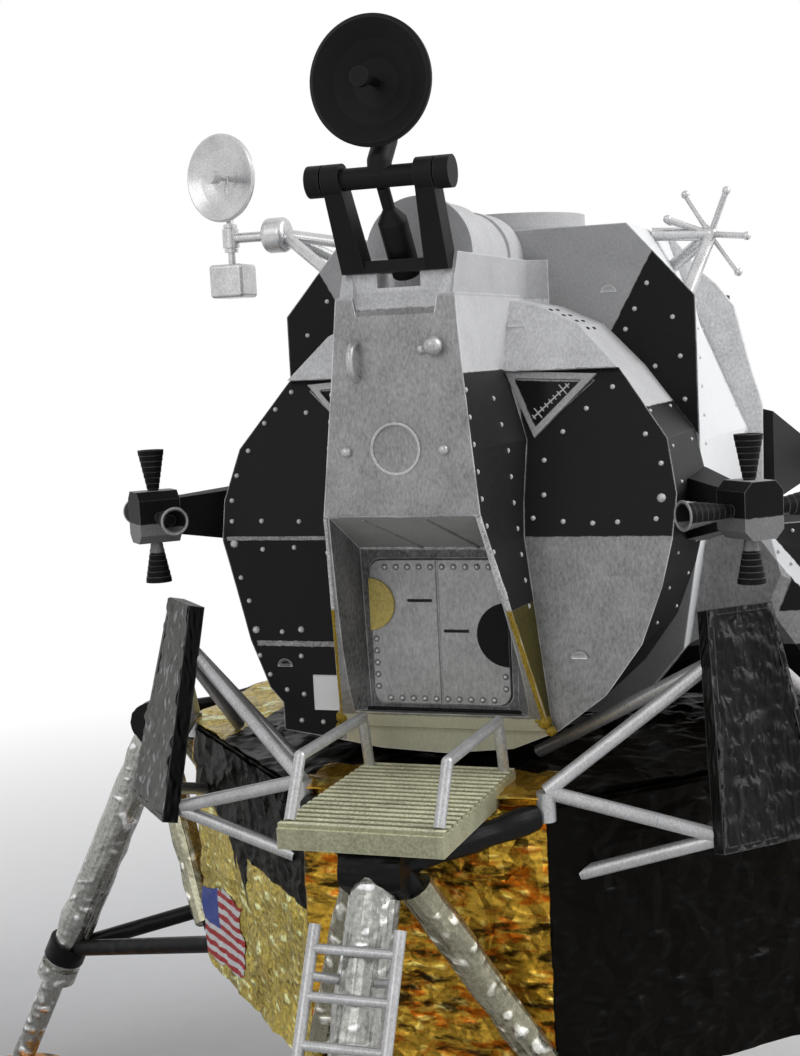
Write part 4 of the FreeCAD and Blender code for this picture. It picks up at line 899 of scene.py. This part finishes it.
strokes = [stroke((10.5, 107.45), (14.7, 111.3))]
for step in range(9):
    share = 0.06 + 0.11 * step
    x, z = 10.5 + 4.2 * share, 107.45 + 3.85 * share
    reach = 0.75 if step in (1, 7) else 0.33
    strokes.append(stroke((x - 0.68 * reach, z + 0.73 * reach), (x + 0.68 * reach, z - 0.73 * reach), 0.09))
scale_white = paint("scale_white", (grey(0.60), 0.5, 0.0, 0.1), (), 0.3, 0.05)
settle(join(strokes), "window_scale", scale_white)

# %% [markdown]
# ## Seams and small raised marks
# Two rough bright seams cross the left face. A seam is a thin strip of many faces that a noise pushes
# about, as dried paint does on a moulded line. The D-shaped marks are half discs with an inset face
# pushed in.

# %% Seams
def seam(left, right, z, y=-35.0, wide=0.22):
    made = block((left, y - 0.10, z - wide), (right, y + 0.25, z + wide))
    on_all(made, bpy.ops.mesh.subdivide, number_cuts=24)
    return roughen(made, 0.22, 0.4)


seams = [seam(-26.6, -12.9, 94.6), seam(-23.4, -12.9, 82.0, wide=0.3)]
seam_paint = paint("seam_paint", (grey(0.30), 0.6, 0.2, 1.0), (), 0.25, 0.4)
settle(join(seams), "cabin_seams", seam_paint)

# %% Raised marks
mark = half_disc(0, 0, 1.0, 1, 0.24, 0)
press(mark, is_front, (0.18, (0, 0.14, 0)))
upright_mark = Matrix.Rotation(-math.pi / 2, 4, "Y")
for node, spots, coat in (("cabin_shell", ((8.1, 118.0), (16.3, 80.8), (-19.9, 79.2)), cabin_paint),
                          ("midsection", ((16.2, 121.8), (-16.2, 121.8)), midsection_paint)):
    places = []
    for x, z in spots:
        _, point, normal, _ = cad[node].ray_cast(Vector((x, -60, z)) * mm, Vector((0, 1, 0)))
        turn = (-normal).to_track_quat("Y", "Z").to_matrix().to_4x4()
        places.append(Matrix.Translation(point) @ turn @ upright_mark)
    settle(strew(mark, places), node + "_marks", coat)

# %% More rivets, on the barrel and the tanks
def rows(xs, ys, zs, size=0.8):
    return [(x, y, z, size) for x in xs for y in ys for z in zs]


barrel = rows([60], (-29.5, -18.0), (84, 88, 92, 96, 100, 104, 108), 0.75)
upper_tank = [(x, -60, z, 0.8)
              for x, z in ((36.7, 91.8), (35.2, 89.4), (36.6, 87.8), (38.8, 86.1), (40.0, 88.7))]
side_tank = rows([80], (-1.5, 6, 12.5), (91.2, 87.0), 0.9)
low_tank = rows([80], (0, 5, 10), (75.5, 72.0), 0.9)
marks = landings("cabin_shell", barrel, (-1, 0, 0))
marks += landings("cabin_shell", [(-x, y, z, size) for x, y, z, size in barrel], (1, 0, 0))
marks += landings("tank_fairing_right", upper_tank, (0, 1, 0))
marks += landings("tank_fairing_right", side_tank + low_tank, (-1, 0, 0))
add_rivets("side_rivets", marks)

# %% [markdown]
# ## Fittings on the nose
# A curved grip, a round lamp beside a small stud, a thin ring and two domes sit on the nose's flat front.
# The grip is a torus cut by bisect. The ring is a flat disc whose face is inset twice and moved in.

# %% Nose fittings
def nose_front(x, z, out=0.0):
    return Vector((x, -46.1 + 0.0553 * (z - 98.3) - out, z))


def trim(piece, x, z):
    """Cuts off what lies inside the nose."""
    cut(piece, (nose_front(x, z, -0.3), (0, 1, 0)), clear_outer=True, use_fill=True)
    return smooth(piece, 0.8)


def knob(x, z, radius, out):
    ball = begin(bpy.ops.mesh.primitive_uv_sphere_add, segments=24, ring_count=14, radius=radius * mm,
                 location=nose_front(x, z, out) * mm)
    return trim(ball, x, z)


grip = begin(bpy.ops.mesh.primitive_torus_add, major_segments=40, minor_segments=12, major_radius=2.0 * mm,
             minor_radius=0.42 * mm, location=nose_front(-4.6, 115.0, -0.2) * mm,
             rotation=(0, math.pi / 2, 0))
trim(grip, 0, 115)
ring = begin(bpy.ops.mesh.primitive_cylinder_add, vertices=56, radius=2.85 * mm, depth=0.5 * mm,
             location=nose_front(-0.3, 105.5, 0.05) * mm, rotation=(math.pi / 2, 0, 0))
press(ring, is_front, (0.28, (0, 0, 0)), (0.10, (0, 0.45, 0)))
soften(ring, 0.05)
domes = ((4.55, 116.3, 1.05, 1.1), (3.0, 116.0, 0.55, 0.25),
         (-6.0, 105.3, 0.6, 0.25), (5.15, 105.3, 0.6, 0.25))
fittings = join([grip, ring] + [knob(*dome) for dome in domes])
fitting_paint = paint("fitting_paint", bright_metal, (), 0.26, 0.3, (grey(0.9), 0.14, 0.9))
settle(fittings, "nose_grip_and_ring", fitting_paint)
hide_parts("nose_fittings")

# %% [markdown]
# ## Rough edges round the recess
# Along the recess's front edges the bright paint stands in a rough thread, stained ochre low down. Each
# edge is a thin tube of many faces that the same fine noise pushes about.

# %% Recess edges
def thread(start, end, radius=0.2):
    return roughen(tube(start, end, radius, 8, 16), 0.24, 0.5)


threads = [thread((side * 8.85, -46.05, 98.1), (side * 12.55, -36.0, 73.4)) for side in (1, -1)]
threads.append(thread((-8.8, -46.1, 98.25), (8.8, -46.1, 98.25), 0.13))
threads.append(thread((-9.3, -35.4, 93.5), (9.3, -35.4, 93.5)))
edge_fields = [([below(stain_line)], stain), ([above(97.9), within(8.3)], satin_silver)]
edge_paint = paint("edge_paint", thread_white, edge_fields, 0.3, 0.4)
settle(join(threads), "recess_edges", edge_paint)

# %% [markdown]
# ## Stains, a pale panel and a louvre
# Drops of ochre paint gathered at both ends of the sill: small balls that the fine noise makes uneven. A
# pale panel lies beside the sill on the left. Eight dark slats form a louvre where the drum's side turns
# over.

# %% Stains
drops = []
for x, z, size in ((-12.5, 73.6, 0.75), (-12.9, 72.4, 0.5), (12.2, 73.7, 0.8), (12.9, 72.7, 0.6),
                   (11.4, 74.0, 0.5)):
    drop = begin(bpy.ops.mesh.primitive_ico_sphere_add, subdivisions=3, radius=size * mm,
                 location=Vector((x, -36.0, z)) * mm)
    drops.append(smooth(roughen(drop, 0.3), 0.9))
stain_paint = paint("stain_paint", stain, (), 0.4, 0.2)
settle(join(drops), "ochre_drops", stain_paint)

# %% Pale panel
edge_pale = paint("edge_pale", white, (), 0.3, 0.2)
panel = block((-16.3, -35.35, 74.1), (-13.1, -34.9, 78.3))
press(panel, is_front, (0.2, (0, 0.08, 0)))
settle(soften(panel, 0.06), "pale_panel", edge_pale)

# %% Louvre
slat = soften(block((-0.42, -0.2, -0.15), (0.42, 0.2, 0.12)), 0.08, 1)
slats = []
for side in (1, -1):
    spots = [(side * x, y, z) for x, z in ((11.5, 119.6), (13.0, 118.9), (14.4, 118.0), (15.6, 117.0))
             for y in (-24.6, -21.6)]
    slats += landings("cabin_shell", spots, (-0.6 * side, 0, -0.8), 0.0)
settle(strew(slat, slats), "drum_louvre", rack_paint)

# %% [markdown]
# ## Foil on the plume deflectors
# The trays wear black foil, brushed downwards and full of small dents. A grid as large as the tray is
# laid on its face, cut to the tapered outline by four bisects, crushed and thinned. It is made once and
# turned to the four corners.

# %% Deflector foil
half_top, half_foot, foil_width, foil_length, off_tray = 4.2, 6.9, 15.2, 26.4, 1.95
out, aside = Vector((1, -1, 0)).normalized(), Vector((1, 1, 0)).normalized()
tray_top, tray_foot = out * 46.4 + Vector((0, 0, 86.4)), out * 52.2 + Vector((0, 0, 61.4))
upwards = (tray_top - tray_foot).normalized()
facing = aside.cross(upwards)
facing = facing if facing.dot(out) > 0 else -facing
middle = (tray_top + tray_foot) / 2 + facing * off_tray
foil = begin(bpy.ops.mesh.primitive_grid_add, x_subdivisions=40, y_subdivisions=84, size=1)
lay(foil, middle, aside * foil_width, upwards * foil_length, aside.cross(upwards))
planes = []
for hand in (1, -1):
    high, low = tray_top + aside * hand * half_top, tray_foot + aside * hand * half_foot
    off = (high - low).cross(facing).normalized()
    off = off if off.dot(aside * hand) > 0 else -off
    end = tray_top - upwards * 0.1 if hand > 0 else tray_foot + upwards * 0.1
    planes += [(high, off), (end, upwards * hand)]
cut(foil, *planes, clear_outer=True)
shift(foil, crumple("dents", "CLOUDS", 2.2, "HARD_NOISE"), 0.7, 0.4)
shift(foil, big_folds, 0.5, 0.4)
use("DECIMATE", foil, ratio=0.6)
smooth(foil, 0.5)
use("SOLIDIFY", foil, thickness=0.1 * mm, offset=0)
settle(strew(foil, turns), "deflector_foil", deflector_paint, "descent_stage")

# %% [markdown]
# ## Lumpy wrapping on the upper outriggers
# The two upper tubes and the cross tube of each leg are wrapped in soft black foil, which bulges and
# stays smooth. A soft noise swells tubes of many faces, and smooth shading keeps them round.

# %% Outrigger wrapping
swelling = crumple("swelling", "CLOUDS", 2.6)
wraps = []
for start, end, radius in (((2.4, -56.8, 63.5), (13.15, -44.6, 65.25), 1.3),
                           ((-3.35, -57.5, 63.4), (3.35, -57.5, 63.4), 3.0)):
    wrap = tube(start, end, radius, 24, 10)
    shift(wrap, swelling, 1.1, 0.38)
    wraps.append(smooth(wrap, 1.2))
lumps = join([strew(wraps[0], both_hands), strew(wraps[1], turns)])
on_all(lumps, bpy.ops.mesh.normals_make_consistent, inside=False)
lump_paint = paint("lump_paint", (grey(0.006), 0.35, 0.0, 0.5), (), 0.5, 0.3)
settle(lumps, "outrigger_wrapping", lump_paint, "descent_stage")

# %% [markdown]
# ## A striped patch
# A patch with plain stripes is stuck on the gold foil. A fine grid is laid level before the crumpled wall
# and shrunk onto it, so it takes on the foil's folds. The stripes are fields of paint.

# %% Striped patch
patch_width, stripe, stripes_high = 17, 0.765, 13
level_way = Vector((0.707, -0.707, 0))
patch_top = (level_way * 17.0 + Vector((0, 0, 1.35))).normalized()
off_wall = Vector((-0.707, -0.707, 0))
patch_corner = Vector((-29.3, -29.3, 44.6)) + level_way * -20.5 + off_wall * 3
patch = begin(bpy.ops.mesh.primitive_grid_add, x_subdivisions=44, y_subdivisions=44, size=1)
patch.data.transform(Matrix.Translation((0.5, 0.5, 0)))  # its corner, not its middle, is the start
lay(patch, patch_corner, patch_top * patch_width, Vector((0, 0, -1)) * stripes_high * stripe, off_wall)
use("SHRINKWRAP", patch, target=wall, wrap_method="NEAREST_SURFACEPOINT", wrap_mode="ABOVE_SURFACE",
    offset=0.12 * mm)
use("SOLIDIFY", patch, thickness=0.08 * mm, offset=0)

# %% The patch's stripes
red, blue = ((0.42, 0.035, 0.04, 1), 0.45, 0.1, 0.3), ((0.06, 0.09, 0.33, 1), 0.45, 0.1, 0.3)
blue_width, blue_stripes = 6.4, 7
across = patch_top.cross(off_wall).normalized()
across = across if across.z < 0 else -across
start, left_edge = across.dot(patch_corner), patch_top.dot(patch_corner)
stripes = []
for step in range(0, stripes_high, 2):
    low = ("at", tuple(across), start + step * stripe)
    high = ("at", tuple(-across), -start - (step + 1) * stripe)
    stripes.append(([low, high], red))
stripes.append(([("at", tuple(-patch_top), -(left_edge + blue_width)),
                 ("at", tuple(-across), -start - blue_stripes * stripe)], blue))
patch_paint = paint("patch_paint", (grey(0.70), 0.5, 0.1, 0.3), stripes, 0.3, 0.3)
settle(patch, "striped_patch", patch_paint, "descent_stage")

# %% [markdown]
# ## Lines in the recess ceiling, and a painted shadow at its foot
# Two thin lines run slantwise over the ceiling of the hatch recess. They are slim bars that lie on it,
# placed between points on its front and back edges. A black strip closes the gap under the hatch: a
# painted shadow.

# %% Recess lines
def ceiling(x, share):
    return Vector((x, -45.6 + 10.2 * share, 98.1 - 4.62 * share - 0.02))


lines = join([tube(ceiling(front_x, 0.04), ceiling(back_x, 0.98), 0.24, 8, 0)
              for front_x, back_x in ((-4.9, -1.6), (2.4, 5.2))])
settle(soften(lines, 0.05, 1), "recess_lines", hatch_paint)
# Painted shadow: a black strip in the gap under the hatch, where there is only shade.
shadow_strip = soften(block((-9.6, -35.6, 74.4), (9.6, -35.15, 74.75)), 0.1)
settle(shadow_strip, "hatch_shadow_strip", black_and_shadow_paint)

# %% [markdown]
# ## Bright lips on the thrusters
# The mouths of the level nozzles catch the light. A flattened torus, laid round one mouth, is copied to
# both sides of the four groups.

# %% Nozzle lips
group_middle, mouth_reach = Vector((35.75, -35.75, 97.5)), 8.55
lip = begin(bpy.ops.mesh.primitive_torus_add, major_segments=28, minor_segments=8, major_radius=1.5 * mm,
            minor_radius=0.17 * mm)
on_all(lip, bpy.ops.transform.resize, value=(1, 1, 0.7))
smooth(lip, 1.0)
mouths = []
for hand in (1, -1):
    line = Vector((0.7071, 0.7071, 0)) * hand
    mouths.append(Matrix.Translation((group_middle + line * mouth_reach) * mm)
                  @ line.to_track_quat("Z", "Y").to_matrix().to_4x4())
lips = strew(lip, [turn @ mouth for turn in turns for mouth in mouths])
settle(lips, "nozzle_lips", hatch_paint)

# %% [markdown]
# ## Details on the back and the sides
# The equipment rack holds flat boxes in its cells: one block whose face is inset and moved in, copied
# fifteen times. Thin bands stiffen the engine bell; their radius is found by a ray that meets the bell.
# Rivets and raised panel lines follow the rear faces, where rays show how high the surface lies.

# %% Rack boxes
box = block((-2.9, 35.2, -5.6), (2.9, 36.15, 5.6))
press(box, lambda face: face.normal.y > 0.9, (0.5, (0, -0.25, 0)), (0.9, (0, 0.2, 0)))
soften(box, 0.12)
cells = [Vector((9.12 * column, 0, 84.5 + 15 * row)) for column in range(-2, 3) for row in range(3)]
boxes = strew(box, [Matrix.Translation(cell * mm) for cell in cells])
box_paint = paint("box_paint", (grey(0.13), 0.5, 0.3, 0.5), (), (0.26, (1, 1, 2)), 0.3,
                  (grey(0.5), 0.12, 0.7))
settle(boxes, "rack_boxes", box_paint)

# %% Bell bands
def band(bell, z, wide=0.45, proud=0.25):
    _, point, _, _ = cad[bell].ray_cast(Vector((0.06, 0, z * mm)), Vector((-1, 0, 0)))
    made = begin(bpy.ops.mesh.primitive_cylinder_add, vertices=64, radius=point.x + proud * mm,
                 depth=wide * mm, location=(0, 0, z * mm), end_fill_type="NOTHING")
    use("SOLIDIFY", made, thickness=(proud + 0.35) * mm, offset=-1)
    return soften(made, 0.08)


bands = join([band("descent_engine_bell", z) for z in (11.0, 16.5, 22.0, 27.5)])
settle(bands, "bell_bands", rack_paint, "descent_stage")

# %% Panel lines
def line_on(node, start, end, way, steps, radius=0.14):
    """Thin bars that follow a part's surface under the line from start to end."""
    points = []
    for step in range(steps + 1):
        spot = Vector(start).lerp(Vector(end), step / steps) * mm
        hit, point, _, _ = cad[node].ray_cast(spot, Vector(way))
        if hit:
            points.append(point / mm)
    return [tube(low, high, radius, 6, 0) for low, high in zip(points, points[1:])]


lines = []
for side in (1, -1):
    lines += line_on("aft_bay", (side * 60, 15.5, 100), (side * 60, 32.5, 100), (-side, 0, 0), 3)
lines += line_on("midsection", (-23, 60, 124), (23, 60, 124), (0, -1, 0), 8)
lines += line_on("aft_bay", (-8, 24, 140), (8, 24, 140), (0, 0, -1), 3)
settle(soften(join(lines), 0.04, 1), "panel_lines", pale_paint)

# %% Rivets on the rear faces
marks = []
for side in (1, -1):
    outer, inward = [side * 60], (-side, 0, 0)
    upright_rows = rows(outer, (-11.2, 11.6), (96, 99.5, 103, 106.5, 110, 113.5, 117))
    level_row = rows(outer, (-7.5, -3.5, 0.5, 4.5, 8.5), [120.5])
    marks += landings("midsection", upright_rows + level_row, inward)
    marks += landings("aft_bay", rows(outer, (18, 22, 26, 30), (83, 98, 102, 115)), inward)
marks += landings("midsection", rows((-15.8, 15.8), (-11, -7, -3, 1, 5, 9, 12.5), [160]), (0, 0, -1))
marks += landings("aft_bay", rows((-6.5, 6.5), (17, 21, 27, 31), [160]), (0, 0, -1))
marks += landings("midsection", rows((-17, -9, 9, 17), [60], (125.5, 127.6)), (0, -1, 0))
add_rivets("rear_rivets", marks)

# %% [markdown]
# ## The floor and the light
# A plain pale floor keeps the model's shadow and fades to white further out, so it meets the white
# backdrop without a line. Only camera, glossy and glass rays see that white; the light on the model stays
# plain. One large lamp stands up to the right behind the model and a weaker one in front, as by a window.

# %% Floor
def seen_rays(tree):
    """1 for what the camera sees itself, in a mirror or through glass."""
    rays = add(tree, "LightPath").outputs
    seen = calc(tree, "MAXIMUM", rays["Is Camera Ray"], rays["Is Glossy Ray"])
    return calc(tree, "MAXIMUM", seen, rays["Is Transmission Ray"])


def blend_shaders(tree, share, first, second, output):
    blended = feed(tree, add(tree, "MixShader"), share, first.outputs[0], second.outputs[0])
    tree.links.new(blended, tree.nodes[output].inputs["Surface"])


floor = begin(bpy.ops.mesh.primitive_circle_add, vertices=96, radius=3, fill_type="NGON")
floor.name = "floor"
table = bpy.data.materials.new("pale_table")
table.use_nodes = True
tree = table.node_tree
shader = tree.nodes["Principled BSDF"]
shader.inputs["Roughness"].default_value = 0.9
where = add(tree, "TexCoord").outputs["Object"]
cloud = noise(tree, where, 0.004)
put(tree, mix(tree, cloud, grey(0.78), grey(0.84)), shader.inputs["Base Color"])
fade_start, fade_end = 0.13, 0.34
fading = ramp(tree, vector(tree, "LENGTH", where), fade_start, fade_end)
far = calc(tree, "MULTIPLY", fading, seen_rays(tree))
glow = add(tree, "Emission")
glow.inputs["Color"].default_value = (1, 1, 1, 1)
blend_shaders(tree, far, shader, glow, "Material Output")
floor.data.materials.append(table)

# %% World and lamps
world = bpy.data.worlds.new("studio")
bpy.context.scene.world = world
world.use_nodes = True
tree = world.node_tree
room = tree.nodes["Background"]
room.inputs["Color"].default_value = (0.97, 0.98, 1.0, 1)
room.inputs["Strength"].default_value = 0.38
backdrop = add(tree, "Background")
backdrop.inputs["Color"].default_value = (1, 1, 1, 1)
blend_shaders(tree, seen_rays(tree), room, backdrop, "World Output")


def lamp(name, spot, size, watts):
    clear()
    bpy.ops.object.light_add(type="AREA", location=spot)
    made = bpy.context.object
    made.name = name
    made.data.shape = "DISK"
    made.data.size = size
    made.data.energy = watts
    made.rotation_euler = (Vector((0, 0, 0.09)) - Vector(spot)).to_track_quat("-Z", "Y").to_euler()
    print(name, watts, "W")


lamp("window_lamp", (0.62, 0.12, 0.50), 0.5, 3.7)
lamp("front_lamp", (-0.15, -0.80, 0.50), 0.6, 1.2)

# %% Removing the seed shapes, and the end
for seed in seeds:
    bpy.data.objects.remove(seed)
bpy.context.scene.view_settings.view_transform = "Standard"
